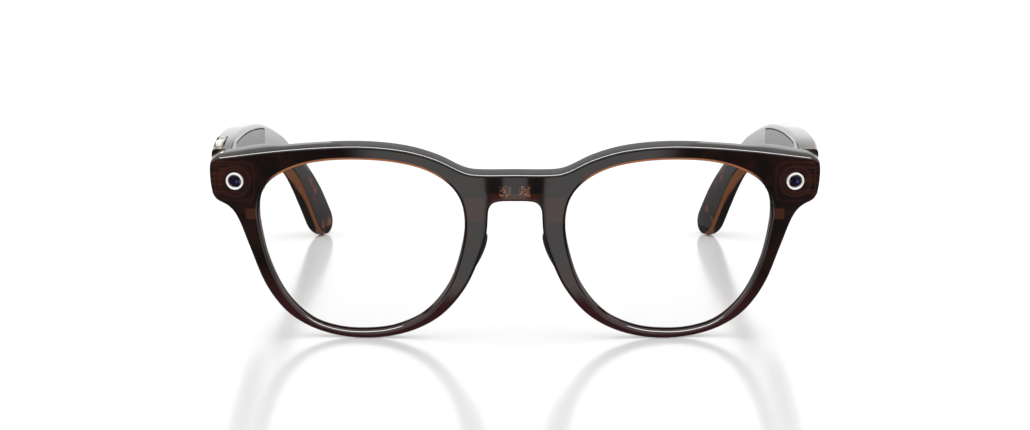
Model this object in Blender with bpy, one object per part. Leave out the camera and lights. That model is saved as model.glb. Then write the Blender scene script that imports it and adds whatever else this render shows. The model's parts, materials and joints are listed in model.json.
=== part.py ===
"""Smart glasses with folding temples, standing open on the rims and the temple tips.

Units are metres and +Z is up. The wearer looks along -Y, and the wearer's left is +X. The front
leans forward at the top, and its pieces are modelled in their own datum: X across, Z up the
front and Y back through it. Each temple is modelled in the datum of its hinge. Sizes below are
in millimetres and are turned into metres where the vertices are made.
"""

import math

import bmesh
import bpy
from mathutils import Euler, Vector

MM = 0.001
GAP = 0.3                       # clearance between pieces that touch

# ---- stance ----
FRONT_LEAN = math.radians(9.0)  # the front's top leans forward by this much
SHIFT_Y = -71.3                 # puts the middle of the footprint at the origin
FRONT_Z = -0.344                # puts the rims' lowest edge on the floor

# ---- front ----
FACE_RADIUS = 400.0             # the front curves back in a parabola of this radius
RIM_THICKNESS = 3.4
BROW_THICKNESS = 5.3
RIM_TO_BROW = (20.0, 38.0)      # heights between which the front thickens
BLOCK_START, BLOCK_END = 54.0, 63.5   # where the rear face runs out into the endpiece block
EDGE_BEVEL = 0.45
JOINT_Y = 5.5                   # plane between the endpieces and the temples

# half of the outer outline (across, up), from the bridge's top centre round to its bottom
TOP_EDGE = [(0, 42.1), (8.6, 42.05), (12.4, 42.75), (18.5, 45.7), (26, 47.8), (35.5, 48.6),
            (46, 48.1), (58, 46.65), (71.7, 44.3)]
SIDE_EDGE = [(72.8, 43.7), (73.1, 41.4), (72.95, 37.5), (72.4, 34.6)]
LOWER_EDGE = [(71.4, 33.5), (69.6, 32.85), (67.7, 31.3), (66.1, 28.3), (63.9, 22.2),
              (60.5, 13.2), (56.0, 6.7), (50.6, 2.85), (44.3, 0.7), (37.4, 0.0), (30.4, 0.6),
              (23.4, 2.8), (17.2, 6.8), (12.1, 13.1), (8.9, 20.0), (6.9, 26.6), (6.5, 31.0),
              (6.4, 33.3)]
BRIDGE_EDGE = [(5.5, 34.9), (3.4, 35.35), (0, 35.4)]
# lens opening, round from its nasal side
OPENING = [(12.0, 29.2), (12.9, 35.3), (16.2, 39.9), (22.0, 43.2), (29.5, 44.8), (38.0, 45.15),
           (46.5, 44.4), (53.5, 42.3), (59.1, 38.5), (61.4, 33.0), (61.1, 27.3), (59.1, 18.5),
           (55.2, 10.2), (49.5, 4.5), (43.5, 2.25), (36.6, 1.8), (28.9, 3.0), (21.4, 6.9),
           (15.9, 14.0), (13.1, 22.0)]
OUTLINE_STEP = 2                # curve samples between neighbouring outline points

# ---- lenses ----
GROOVE_FRONT, GROOVE_BACK = 0.8, 2.6
GROOVE_DEPTH = 0.8
LENS_OVERLAP = 0.5             # how far the lens edge reaches into the groove
LENS_THICKNESS = 1.2
LENS_CROWN = 0.8                # bulge of the lens ahead of its edge
LENS_RINGS = (1.0, 0.8, 0.55, 0.28)
LENS_CENTRE = (36.4, 25.0)

# ---- camera and light, in the endpieces ----
MODULE_AT = (67.1, 38.7)        # centre of each module on the front (across, up)
BEZEL_OUTER, BEZEL_INNER = 2.15, 1.65
MODULE_BORE = 2.45
POCKET_HALF = (2.9, 3.1)        # half size of the module pocket behind the front wall
POCKET_FLOOR = 1.5
BEZEL_DEPTHS = (-0.12, 1.3)     # the bezel stands a little proud of the front
WINDOW_DEPTHS = (0.12, 0.72)
BARREL_SIZE = (1.4, 1.0, 3.3)   # radius, and depths from and to
BOARD_DEPTHS = (3.6, 4.2)
REAR_COVER_HALF = (3.5, 3.9)    # half size of the recess for the cover behind each module
REAR_COVER_THICKNESS = 0.8

# ---- brow channel ----
CHANNEL_FLOOR = 3.5
CHANNEL_END = 60.0
CHANNEL_TOP_WALL = 0.85
CHANNEL_HEIGHT = 1.7
COVER_THICKNESS = 0.8
FLEX_THICKNESS = 0.25

# ---- bridge ----
BRIDGE_ROW = 37.7               # height of the contacts and the microphone
CONTACT_HALF_PITCH, CONTACT_RADIUS = 2.5, 1.05
CONTACT_THICKNESS, CONTACT_PROUD = 1.2, 0.1
MICROPHONE_HALF, MICROPHONE_DEPTH = 0.55, 0.9

# ---- nose pads ----
# stations down the pad: height, outer edge across, inner edge across, reach behind the rim
PAD_STATIONS = [(26.6, 7.6, 10.2, 1.0), (25.0, 6.9, 10.7, 3.0), (22.0, 7.5, 11.6, 4.4),
                (18.5, 9.0, 13.0, 5.0), (15.0, 11.1, 14.8, 4.6), (12.4, 13.1, 16.2, 3.2),
                (10.6, 14.8, 17.0, 1.4)]

# ---- hinges ----
HINGE_X, HINGE_Y, HINGE_Z = 66.2, 7.3, 40.0
BARREL_RADIUS = 1.65
HINGE_BORE, HINGE_PIN = 0.95, 0.75
KNUCKLE_HALF = 1.25             # half height of the temple's knuckle
LEAF_HALF = 3.9                 # half height of the front leaf
# leaf boxes around the hinge axis: outward, back and up, from low to high
FRONT_LEAF = ((-5.7, 0.0), (-1.6, -0.8), (-LEAF_HALF, LEAF_HALF))
TEMPLE_TONGUE = ((0.4, 1.5), (0.0, 2.8), (-KNUCKLE_HALF, KNUCKLE_HALF))
TEMPLE_LEAF = ((0.7, 1.6), (2.2, 10.6), (-3.1, 3.1))
SCREW_RADIUS, SCREW_HOLE, SCREW_HEAD = 0.5, 0.75, 0.9
HEAD_THICKNESS = 0.4
FRONT_SCREWS = ((-3.9, 2.0), (-3.9, -2.0))      # outward, up
TEMPLE_SCREWS = (5.6, 8.6)      # back from the axis

# ---- temples ----
# stations from the joint to the tip: top (back, up), bottom (back, up), middle of the wall
# thickness (across) at the top and at the bottom, thickness
STATIONS = [
    ((5.65, 45.7), (5.65, 34.3), 70.65, 70.65, 5.0),
    ((16, 46.6), (16, 32.5), 71.1, 71.1, 5.2),
    ((30, 46.4), (30, 30.8), 71.35, 71.35, 5.4),
    ((46, 45.6), (46, 28.7), 71.4, 71.4, 5.6),
    ((63, 44.1), (62, 26.3), 71.35, 71.35, 5.8),
    ((79, 42.2), (76.5, 24.7), 71.1, 71.2, 5.7),
    ((93, 39.9), (89, 24.4), 70.6, 70.6, 5.0),
    ((104, 37.7), (100, 25.2), 70.0, 69.9, 4.4),
    ((114.5, 35.1), (110, 25.6), 69.2, 69.0, 4.0),
    ((123.5, 32.4), (118.8, 25.0), 68.2, 68.1, 3.9),
    ((131.2, 29.1), (125.8, 23.2), 67.0, 67.0, 3.8),
    ((138.4, 25.0), (130.6, 20.0), 65.0, 65.4, 3.8),
    ((143.6, 20.2), (133.2, 16.0), 62.5, 63.8, 3.8),
    ((147.0, 13.7), (135.7, 10.7), 59.3, 62.1, 3.8),
    ((149.4, 6.48), (138.8, 4.48), 56.5, 60.3, 3.7),
]
TIP_RADIUS = 5.9                # the rounded end of the tip
TIP_STEPS = 5
STATION_STEPS = 2
CORNER_RADIUS = 0.9
WALL = 1.2                      # outer wall of the hollow part
RIM_WALL = 1.3                  # wall above and below the inner cover
LEDGE = 0.9                     # the cover rests on a ledge of this width
COVER_PLATE = 1.0
HOLLOW = (18.5, 84.0)           # where the hollow part runs along the temple

# ---- controls ----
BUTTON_LENGTH, BUTTON_WIDTH, BUTTON_DEPTH = 13.0, 1.9, 2.1
BUTTON_BACK = 14.8              # middle of the capture button, along the right temple
BUTTON_PROUD = 0.4
BUTTON_OFFSET = 0.8             # outward of the temple's middle
SWITCH_GAP = 0.7                # free room under the button, more than its travel
SLIDER_BACK, SLIDER_UP = 23.2, 1.0
SLIDER_SIZE = (4.4, 1.9)
SLIDER_TRAVEL = 1.5
SLIDER_PROUD, SLIDER_DEPTH = 0.5, 1.6
VENT_BACK, VENT_HALF = 73.0, (0.95, 3.3)

# colours (linear), roughness, metallic
FINISHES = {
    "shell": ((0.018, 0.010, 0.008), 0.12, 0.0),
    "cover": ((0.022, 0.013, 0.011), 0.2, 0.0),
    "lens": ((0.93, 0.95, 0.95), 0.03, 0.0),
    "silver": ((0.78, 0.76, 0.72), 0.22, 1.0),
    "gold": ((0.83, 0.66, 0.36), 0.25, 1.0),
    "steel": ((0.42, 0.41, 0.40), 0.3, 1.0),
    "optic": ((0.02, 0.012, 0.035), 0.05, 0.0),
    "black": ((0.012, 0.012, 0.013), 0.5, 0.0),
    "board": ((0.01, 0.09, 0.05), 0.45, 0.0),
    "flex": ((0.55, 0.20, 0.04), 0.4, 0.0),
    "foil": ((0.55, 0.55, 0.56), 0.35, 1.0),
    "mesh": ((0.05, 0.05, 0.055), 0.55, 1.0),
    "diffuser": ((0.80, 0.80, 0.78), 0.4, 0.0),
}


# ---------------------------------------------------------------- plain geometry

def smooth_curve(points, steps, closed=False):
    """Catmull-Rom curve through the points, with this many samples between neighbours."""
    count = len(points)
    last = count if closed else count - 1
    curve = []
    for i in range(last):
        p = []
        for j in (i - 1, i, i + 1, i + 2):
            k = j % count if closed else min(max(j, 0), count - 1)
            p.append(Vector(points[k]))
        for s in range(steps):
            t = s / steps
            curve.append(0.5 * (2 * p[1] + (p[2] - p[0]) * t
                                + (2 * p[0] - 5 * p[1] + 4 * p[2] - p[3]) * t ** 2
                                + (3 * p[1] - p[0] - 3 * p[2] + p[3]) * t ** 3))
    if not closed:
        curve.append(Vector(points[-1]))
    return curve


def smoothstep(value, low, high):
    t = min(max((value - low) / (high - low), 0.0), 1.0)
    return t * t * (3 - 2 * t)


def offset_loop(loop, distance):
    """Move each point of a closed anticlockwise loop outward by the distance."""
    moved = []
    for i, point in enumerate(loop):
        along = (loop[(i + 1) % len(loop)] - loop[i - 1]).normalized()
        moved.append(point + Vector((along.y, -along.x)) * distance)
    return moved


def mirrored(loop):
    """The loop on the other side of the bridge, still anticlockwise."""
    return [Vector((-p.x, p.y)) for p in reversed(loop)]


def rounded_rectangle(half_width, half_height, radius, steps=2):
    """Anticlockwise rectangle with round corners."""
    loop = []
    for quarter in range(4):
        angle = math.pi / 2 * quarter
        sign_x = 1 if quarter in (0, 3) else -1
        sign_y = 1 if quarter in (0, 1) else -1
        centre = Vector((sign_x * (half_width - radius), sign_y * (half_height - radius)))
        for s in range(steps + 1):
            a = angle + math.pi / 2 * s / steps
            loop.append(centre + Vector((math.cos(a), math.sin(a))) * radius)
    return loop


def circle(radius, count):
    return [Vector((math.cos(math.tau * i / count), math.sin(math.tau * i / count))) * radius
            for i in range(count)]


# ---------------------------------------------------------------- objects

def finish_material(name, finish):
    colour, roughness, metallic = FINISHES[finish]
    material = bpy.data.materials.new(name + "_finish")
    material.use_nodes = True
    shader = material.node_tree.nodes["Principled BSDF"]
    shader.inputs["Base Color"].default_value = (*colour, 1.0)
    shader.inputs["Roughness"].default_value = roughness
    shader.inputs["Metallic"].default_value = metallic
    if finish == "lens":
        shader.inputs["Alpha"].default_value = 0.35
    return material


def add_object(name, mesh_data, finish, parent=None):
    """Turn a bmesh in millimetres into an object in metres."""
    bmesh.ops.scale(mesh_data, vec=(MM, MM, MM), verts=mesh_data.verts)
    bmesh.ops.recalc_face_normals(mesh_data, faces=mesh_data.faces)
    mesh = bpy.data.meshes.new(name)
    mesh_data.to_mesh(mesh)
    mesh_data.free()
    obj = bpy.data.objects.new(name, mesh)
    bpy.context.scene.collection.objects.link(obj)
    mesh.shade_smooth()
    mesh.set_sharp_from_angle(angle=math.radians(35))
    if finish:
        mesh.materials.append(finish_material(name, finish))
    else:
        obj.hide_render = True
        obj.display_type = 'WIRE'
    if parent:
        obj.parent = parent
    return obj


def place(obj, location, rotation=(0, 0, 0)):
    """Location in millimetres, in the parent's frame."""
    obj.location = Vector(location) * MM
    obj.rotation_euler = Euler(rotation)
    return obj


def cut(target, cutter):
    cut_step = target.modifiers.new("cut_" + cutter.name, 'BOOLEAN')
    cut_step.operation = 'DIFFERENCE'
    cut_step.solver = 'EXACT'
    cut_step.object = cutter


def stack_mesh(rings):
    """Closed body through rings of matching points, with a flat or domed cap at each end."""
    data = bmesh.new()
    rows = [[data.verts.new(p) for p in ring] for ring in rings]
    for lower, upper in zip(rows, rows[1:]):
        for i in range(len(lower)):
            j = (i + 1) % len(lower)
            data.faces.new((lower[i], lower[j], upper[j], upper[i]))
    data.faces.new(list(reversed(rows[0])))
    data.faces.new(rows[-1])
    bmesh.ops.triangulate(data, faces=[f for f in data.faces if len(f.verts) > 4])
    return data


def prism_mesh(loop, low, high, axis='Z', chamfer=0.0):
    """A flat outline given thickness along an axis, with its rims chamfered."""
    layers = [(low, -chamfer), (low + chamfer, 0), (high - chamfer, 0), (high, -chamfer)]
    if not chamfer:
        layers = [(low, 0), (high, 0)]
    rings = []
    for level, inset in layers:
        shape = offset_loop(loop, inset) if inset else loop
        if axis == 'Z':
            rings.append([(p.x, p.y, level) for p in shape])
        elif axis == 'Y':
            rings.append([(p.x, level, p.y) for p in shape])
        else:
            rings.append([(level, p.x, p.y) for p in shape])
    return stack_mesh(rings)


def box_mesh(size, chamfer=0.0):
    """A box around the origin, with its edges chamfered."""
    data = bmesh.new()
    bmesh.ops.create_cube(data, size=1.0)
    bmesh.ops.scale(data, vec=size, verts=data.verts)
    if chamfer:
        bmesh.ops.bevel(data, geom=list(data.edges), offset=chamfer, segments=1, affect='EDGES')
    return data


def ring_mesh(outer, inner, low, high, count=24, chamfer=0.12):
    """A washer around Y with chamfered rims, made as a profile swept round."""
    profile = [(inner, low), (inner, high), (outer, high), (outer, low + chamfer),
               (outer - chamfer, low)]
    data = bmesh.new()
    rows = []
    for turn in circle(1.0, count):
        rows.append([data.verts.new((turn.x * r, y, turn.y * r)) for r, y in profile])
    for i, row in enumerate(rows):
        following = rows[(i + 1) % count]
        for j in range(len(profile)):
            k = (j + 1) % len(profile)
            data.faces.new((row[j], row[k], following[k], following[j]))
    return data


def empty_at(name, location, rotation=(0, 0, 0)):
    empty = bpy.data.objects.new(name, None)
    empty.empty_display_size = 0.01
    bpy.context.scene.collection.objects.link(empty)
    return place(empty, location, rotation)


# ---------------------------------------------------------------- front shape

def front_depth_of_joint(height):
    """Depth, in the front's datum, of the upright joint plane at this height."""
    plane = JOINT_Y - GAP / 2
    return (plane + height * math.sin(FRONT_LEAN)) / math.cos(FRONT_LEAN)


def rear_depth(across, height):
    """Depth of the front's rear face: the curved rim, running out into the upright block."""
    thickness = RIM_THICKNESS + (BROW_THICKNESS - RIM_THICKNESS) * smoothstep(height,
                                                                             *RIM_TO_BROW)
    rim = thickness + across ** 2 / (2 * FACE_RADIUS)
    share = smoothstep(abs(across), BLOCK_START, BLOCK_END) * smoothstep(height, 26.0, 34.0)
    return rim + (front_depth_of_joint(height) - rim) * share


def front_point(point, depth, from_rear=False):
    """Point of the front at a depth behind its front face, or ahead of its rear face."""
    if from_rear:
        return Vector((point.x, rear_depth(point.x, point.y) - depth, point.y))
    return Vector((point.x, depth + point.x ** 2 / (2 * FACE_RADIUS), point.y))


def outer_outline():
    half = (smooth_curve(TOP_EDGE, OUTLINE_STEP)
            + smooth_curve(SIDE_EDGE, 2)
            + smooth_curve(LOWER_EDGE, OUTLINE_STEP)
            + smooth_curve(BRIDGE_EDGE, 2))
    right = half[1:-1]
    clockwise = [half[0]] + right + [half[-1]] + [Vector((-p.x, p.y)) for p in reversed(right)]
    return list(reversed(clockwise))


def opening_outline():
    return list(reversed(smooth_curve(OPENING, OUTLINE_STEP, closed=True)))


def fill_between(data, loops):
    """Triangles between an outer loop of vertices and the loops inside it."""
    edges = []
    for loop in loops:
        for i in range(len(loop)):
            pair = (loop[i], loop[(i + 1) % len(loop)])
            edges.append(data.edges.get(pair) or data.edges.new(pair))
    bmesh.ops.triangle_fill(data, use_beauty=True, use_dissolve=False, edges=edges)


def front_frame_mesh():
    """Both rims, bridge and endpieces: flat faces are filled first, then bent to shape."""
    outer = outer_outline()
    openings = [opening_outline(), mirrored(opening_outline())]
    data = bmesh.new()
    depth_of = {}

    def loop_at(points, depth, from_rear):
        verts = []
        for p in points:
            vert = data.verts.new((p.x, -1.0 if from_rear else 1.0, p.y))
            depth_of[vert] = (p, depth, from_rear)
            verts.append(vert)
        return verts

    def wall(rows):
        for first, second in zip(rows, rows[1:]):
            for i in range(len(first)):
                j = (i + 1) % len(first)
                data.faces.new((first[i], first[j], second[j], second[i]))

    front_outer = loop_at(offset_loop(outer, -EDGE_BEVEL), 0, False)
    rear_outer = loop_at(offset_loop(outer, -EDGE_BEVEL), 0, True)
    inner_rows = []
    for opening in openings:
        inner_rows.append([
            loop_at(offset_loop(opening, EDGE_BEVEL), 0, False),
            loop_at(opening, EDGE_BEVEL, False),
            loop_at(opening, GROOVE_FRONT, False),
            loop_at(offset_loop(opening, GROOVE_DEPTH), GROOVE_FRONT, False),
            loop_at(offset_loop(opening, GROOVE_DEPTH), GROOVE_BACK, False),
            loop_at(opening, GROOVE_BACK, False),
            loop_at(opening, EDGE_BEVEL, True),
            loop_at(offset_loop(opening, EDGE_BEVEL), 0, True),
        ])
    fill_between(data, [front_outer] + [rows[0] for rows in inner_rows])
    fill_between(data, [rear_outer] + [rows[-1] for rows in inner_rows])
    wall([front_outer, loop_at(outer, EDGE_BEVEL, False), loop_at(outer, EDGE_BEVEL, True),
          rear_outer])
    for rows in inner_rows:
        wall(rows)
    for vert, (point, depth, from_rear) in depth_of.items():
        vert.co = front_point(point, depth, from_rear)
    return data


def lens_mesh(side):
    outline = opening_outline() if side > 0 else mirrored(opening_outline())
    edge = offset_loop(outline, LENS_OVERLAP)
    centre = Vector((side * LENS_CENTRE[0], LENS_CENTRE[1]))
    mid = (GROOVE_FRONT + GROOVE_BACK) / 2
    data = bmesh.new()
    faces = []
    for half in (-LENS_THICKNESS / 2, LENS_THICKNESS / 2):
        rows = []
        for share in LENS_RINGS:
            crown = LENS_CROWN * (1 - share ** 2)
            rows.append([data.verts.new(front_point(centre + (p - centre) * share,
                                                    mid + half - crown)) for p in edge])
        hub = data.verts.new(front_point(centre, mid + half - LENS_CROWN))
        faces.append((rows, hub))
    for rows, hub in faces:
        for first, second in zip(rows, rows[1:]):
            for i in range(len(first)):
                j = (i + 1) % len(first)
                data.faces.new((first[i], first[j], second[j], second[i]))
        inner = rows[-1]
        for i in range(len(inner)):
            data.faces.new((inner[i], inner[(i + 1) % len(inner)], hub))
    front_edge, back_edge = faces[0][0][0], faces[1][0][0]
    for i in range(len(front_edge)):
        j = (i + 1) % len(front_edge)
        data.faces.new((front_edge[i], back_edge[i], back_edge[j], front_edge[j]))
    return data


def brow_line(inset):
    """The top outline between the channel's ends, moved down into the brow."""
    half = [p for p in smooth_curve(TOP_EDGE, OUTLINE_STEP) if p.x <= CHANNEL_END]
    line = [Vector((-p.x, p.y)) for p in reversed(half[1:])] + half
    moved = []
    for i, p in enumerate(line):
        along = (line[min(i + 1, len(line) - 1)] - line[max(i - 1, 0)]).normalized()
        moved.append(p + Vector((along.y, -along.x)) * inset)
    return moved


def brow_strip_mesh(inset, height, rear_near, rear_far, end_trim):
    """A strip that follows the brow, between two depths measured from the rear face."""
    upper, lower = brow_line(inset), brow_line(inset + height)
    pairs = [(a, b) for a, b in zip(upper, lower) if abs(a.x) <= CHANNEL_END - end_trim]
    rings = []
    for high, low in pairs:
        rings.append([front_point(high, rear_near, True), front_point(low, rear_near, True),
                      front_point(low, rear_far, True), front_point(high, rear_far, True)])
    return stack_mesh(rings)


def build_front(datum):
    frame = add_object("front_frame", front_frame_mesh(), "shell", datum)
    channel = add_object("channel_cutter",
                         brow_strip_mesh(CHANNEL_TOP_WALL, CHANNEL_HEIGHT, -1.0,
                                         BROW_THICKNESS - CHANNEL_FLOOR, 0.0), None, datum)
    cut(frame, channel)
    inset, height = CHANNEL_TOP_WALL + GAP, CHANNEL_HEIGHT - 2 * GAP
    add_object("brow_cover", brow_strip_mesh(inset, height, 0.0, COVER_THICKNESS, 1.0), "cover",
               datum)
    flex_depth = COVER_THICKNESS + GAP
    add_object("brow_flex", brow_strip_mesh(inset, height, flex_depth,
                                            flex_depth + FLEX_THICKNESS, 1.0), "flex", datum)
    for side, word in ((1, "left"), (-1, "right")):
        add_object("lens_" + word, lens_mesh(side), "lens", datum)
    return frame


# ---------------------------------------------------------------- camera, light and bridge

def build_module(frame, datum, side, prefix):
    """A round module behind the endpiece's front wall, looking out through a bore."""
    across, height = MODULE_AT
    face = across ** 2 / (2 * FACE_RADIUS)
    yaw = side * math.atan(across / FACE_RADIUS)
    at = (side * across, face, height)
    turn = (0, 0, yaw)

    def add(name, mesh_data, finish):
        return place(add_object(name, mesh_data, finish, datum), at, turn)

    bore = add(prefix + "_bore_cutter", prism_mesh(circle(MODULE_BORE, 24), -2.0, 3.0, 'Y'), None)
    pocket = add(prefix + "_pocket_cutter",
                 prism_mesh(rounded_rectangle(*POCKET_HALF, 0.8), POCKET_FLOOR, 12.0, 'Y'), None)
    cut(frame, bore)
    cut(frame, pocket)
    add(prefix + "_bezel", ring_mesh(BEZEL_OUTER, BEZEL_INNER, *BEZEL_DEPTHS), "silver")
    window = "optic" if prefix == "camera" else "diffuser"
    add(prefix + "_window", prism_mesh(circle(BEZEL_INNER - 0.08, 24), *WINDOW_DEPTHS, 'Y', 0.1),
        window)
    barrel_finish = "black" if prefix == "camera" else "diffuser"
    barrel_name = "camera_barrel" if prefix == "camera" else "led_light_guide"
    barrel_radius, barrel_front, barrel_back = BARREL_SIZE
    add(barrel_name, prism_mesh(circle(barrel_radius, 20), barrel_front, barrel_back, 'Y', 0.15),
        barrel_finish)
    board = prism_mesh(rounded_rectangle(POCKET_HALF[0] - GAP, POCKET_HALF[1] - GAP, 0.6),
                       *BOARD_DEPTHS, 'Y')
    add("camera_sensor_board" if prefix == "camera" else "led_board", board, "board")


def build_endpiece_cover(frame, side, word):
    """An upright plate let into the endpiece's rear, behind the module."""
    across, height = MODULE_AT
    lean_z = height * math.cos(FRONT_LEAN) + 10.5 * math.sin(FRONT_LEAN) + FRONT_Z
    centre = (side * (across + GAP / 2), SHIFT_Y + JOINT_Y - GAP / 2, lean_z)
    half_width, half_height = REAR_COVER_HALF
    recess = add_object("endpiece_recess_cutter_" + word,
                        prism_mesh(rounded_rectangle(half_width, half_height, 0.9),
                                   -REAR_COVER_THICKNESS - GAP, 2.0, 'Y'), None)
    place(recess, centre)
    cut(frame, recess)
    plate = add_object("endpiece_cover_" + word,
                       prism_mesh(rounded_rectangle(half_width - GAP, half_height - GAP, 0.6),
                                  -REAR_COVER_THICKNESS, 0.0, 'Y'), "cover")
    place(plate, centre)


def build_bridge_parts(frame, datum):
    """Two charging contacts and a microphone let into the bridge's rear face."""
    for side, word in ((1, "left"), (-1, "right")):
        at = (side * CONTACT_HALF_PITCH, rear_depth(0, BRIDGE_ROW), BRIDGE_ROW)
        seat = add_object("contact_cutter_" + word,
                          prism_mesh(circle(CONTACT_RADIUS + 0.25, 20),
                                     -CONTACT_THICKNESS - GAP, 1.0, 'Y'), None, datum)
        cut(frame, place(seat, at))
        disc = add_object("charge_contact_" + word,
                          prism_mesh(circle(CONTACT_RADIUS, 20), -CONTACT_THICKNESS,
                                     CONTACT_PROUD, 'Y', 0.1), "gold", datum)
        place(disc, at)
    at = (0, rear_depth(0, BRIDGE_ROW), BRIDGE_ROW)
    port = add_object("microphone_cutter",
                      prism_mesh(rounded_rectangle(MICROPHONE_HALF + 0.25, MICROPHONE_HALF + 0.25,
                                                   0.4), -MICROPHONE_DEPTH - GAP, 1.0, 'Y'),
                      None, datum)
    cut(frame, place(port, at))
    insert = add_object("bridge_microphone",
                        prism_mesh(rounded_rectangle(MICROPHONE_HALF, MICROPHONE_HALF, 0.3),
                                   -MICROPHONE_DEPTH, -0.1, 'Y'), "mesh", datum)
    place(insert, at)


def nose_pad_mesh(side):
    """A pad on the rim's nasal flank: a drop shape that thickens to the rear and downward."""
    rings = []
    for height, near, far, reach in smooth_curve(PAD_STATIONS, 2):
        seat_near = rear_depth(near, height) + GAP
        seat_far = rear_depth(far, height) + GAP
        middle = (near + far) / 2
        ring = [(near + 0.25, seat_near), (near - 0.1 * reach, seat_near + 0.55 * reach),
                (near + 0.1 * reach, seat_near + 0.95 * reach),
                (middle, seat_near + reach * 0.9), (far - 0.1 * reach, seat_far + 0.45 * reach),
                (far, seat_far)]
        rings.append([(side * x, y, height) for x, y in ring])
    return stack_mesh(rings)


# ---------------------------------------------------------------- temples

def temple_stations():
    """Stations down a temple, with the rounded tip added: corners of a flat bar in space."""
    rows = []
    for top, bottom, x_top, x_bottom, thickness in STATIONS:
        rows.append(Vector((top[0], top[1], bottom[0], bottom[1], x_top, x_bottom, thickness)))
    curve = smooth_curve(rows, STATION_STEPS)
    stations = []
    for row in curve:
        top = Vector((row[4], row[0], row[1]))
        bottom = Vector((row[5], row[2], row[3]))
        stations.append((top, bottom, row[6]))
    top, bottom, thickness = stations[-1]
    before = (stations[-2][0] + stations[-2][1]) / 2
    middle = (top + bottom) / 2
    along = (middle - before).normalized()
    for step in range(1, TIP_STEPS + 1):
        angle = math.pi / 2 * step / (TIP_STEPS + 0.35)
        centre = middle + along * TIP_RADIUS * math.sin(angle)
        half = (top - bottom) / 2 * math.cos(angle)
        stations.append((centre + half, centre - half, thickness * (0.55 + 0.45
                                                                    * math.cos(angle))))
    return stations


def station_frames():
    """Middle point, up direction, outward direction, half height and half thickness."""
    stations = temple_stations()
    middles = [(top + bottom) / 2 for top, bottom, _ in stations]
    frames = []
    for i, (top, bottom, thickness) in enumerate(stations):
        along = (middles[min(i + 1, len(middles) - 1)] - middles[max(i - 1, 0)]).normalized()
        if i == 0:
            along = Vector((0, 1, 0))
        up = (top - bottom).normalized()
        outward = along.cross(up).normalized()
        frames.append((middles[i], up, outward, (top - bottom).length / 2, thickness / 2))
    return frames


def temple_ring(frame_row, loop, side):
    """A section loop (outward, up) placed at a station, in the datum of its hinge."""
    middle, up, outward, _, _ = frame_row
    hinge = Vector((HINGE_X, HINGE_Y, HINGE_Z))
    ring = []
    for p in loop:
        point = middle + outward * p.x + up * p.y - hinge
        ring.append(Vector((side * point.x, point.y, point.z)))
    return ring


def temple_body_mesh(side):
    rings = []
    for row in station_frames():
        _, _, _, half_height, half_thickness = row
        radius = min(CORNER_RADIUS, half_thickness * 0.6, half_height * 0.45)
        rings.append(temple_ring(row, rounded_rectangle(half_thickness, half_height, radius, 2),
                                 side))
    return stack_mesh(rings)


def frames_between(start, end):
    """Stations of the straight part that lie between two distances back, with the ends."""
    rows = station_frames()
    picked = [sample_frame(start)]
    picked += [row for row in rows if start + 1 < row[0].y < end - 1]
    picked.append(sample_frame(end))
    return picked


def sample_frame(back):
    """The temple's section at a distance back from the front, between two stations."""
    rows = station_frames()
    for first, second in zip(rows, rows[1:]):
        if first[0].y <= back <= second[0].y:
            share = (back - first[0].y) / (second[0].y - first[0].y)
            return (first[0].lerp(second[0], share), first[1].lerp(second[1], share).normalized(),
                    first[2].lerp(second[2], share).normalized(),
                    first[3] + (second[3] - first[3]) * share,
                    first[4] + (second[4] - first[4]) * share)
    return rows[-1]


def layer_mesh(side, start, end, edge_inset, inner_from, inner_to=None, from_outer=None):
    """A plate that follows the temple: its depth is measured from the inner face, or its
    second limit from the outer face."""
    rings = []
    for row in frames_between(start, end):
        half_height, half_thickness = row[3] - edge_inset, row[4]
        near = -half_thickness + inner_from
        far = half_thickness - from_outer if inner_to is None else -half_thickness + inner_to
        loop = [Vector((far, half_height)), Vector((near, half_height)),
                Vector((near, -half_height)), Vector((far, -half_height))]
        rings.append(temple_ring(row, loop, side))
    return stack_mesh(rings)


def place_inside(obj, side, back, up, outward_from_inner, datum):
    """Put a box-shaped piece in a temple: back from the front, above the temple's middle
    line, and with its middle this far outward of the temple's inner face."""
    row = sample_frame(back)
    middle, up_axis, outward, _, half_thickness = row
    point = (middle + up_axis * up + outward * (outward_from_inner - half_thickness)
             - Vector((HINGE_X, HINGE_Y, HINGE_Z)))
    ahead, behind = sample_frame(back - 4)[0], sample_frame(back + 4)[0]
    along = behind - ahead
    pitch = math.atan2(along.z, along.y)
    yaw = -math.atan2(along.x, along.y)
    obj.parent = datum
    return place(obj, (side * point.x, point.y, point.z), (pitch, 0, side * yaw))


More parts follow.
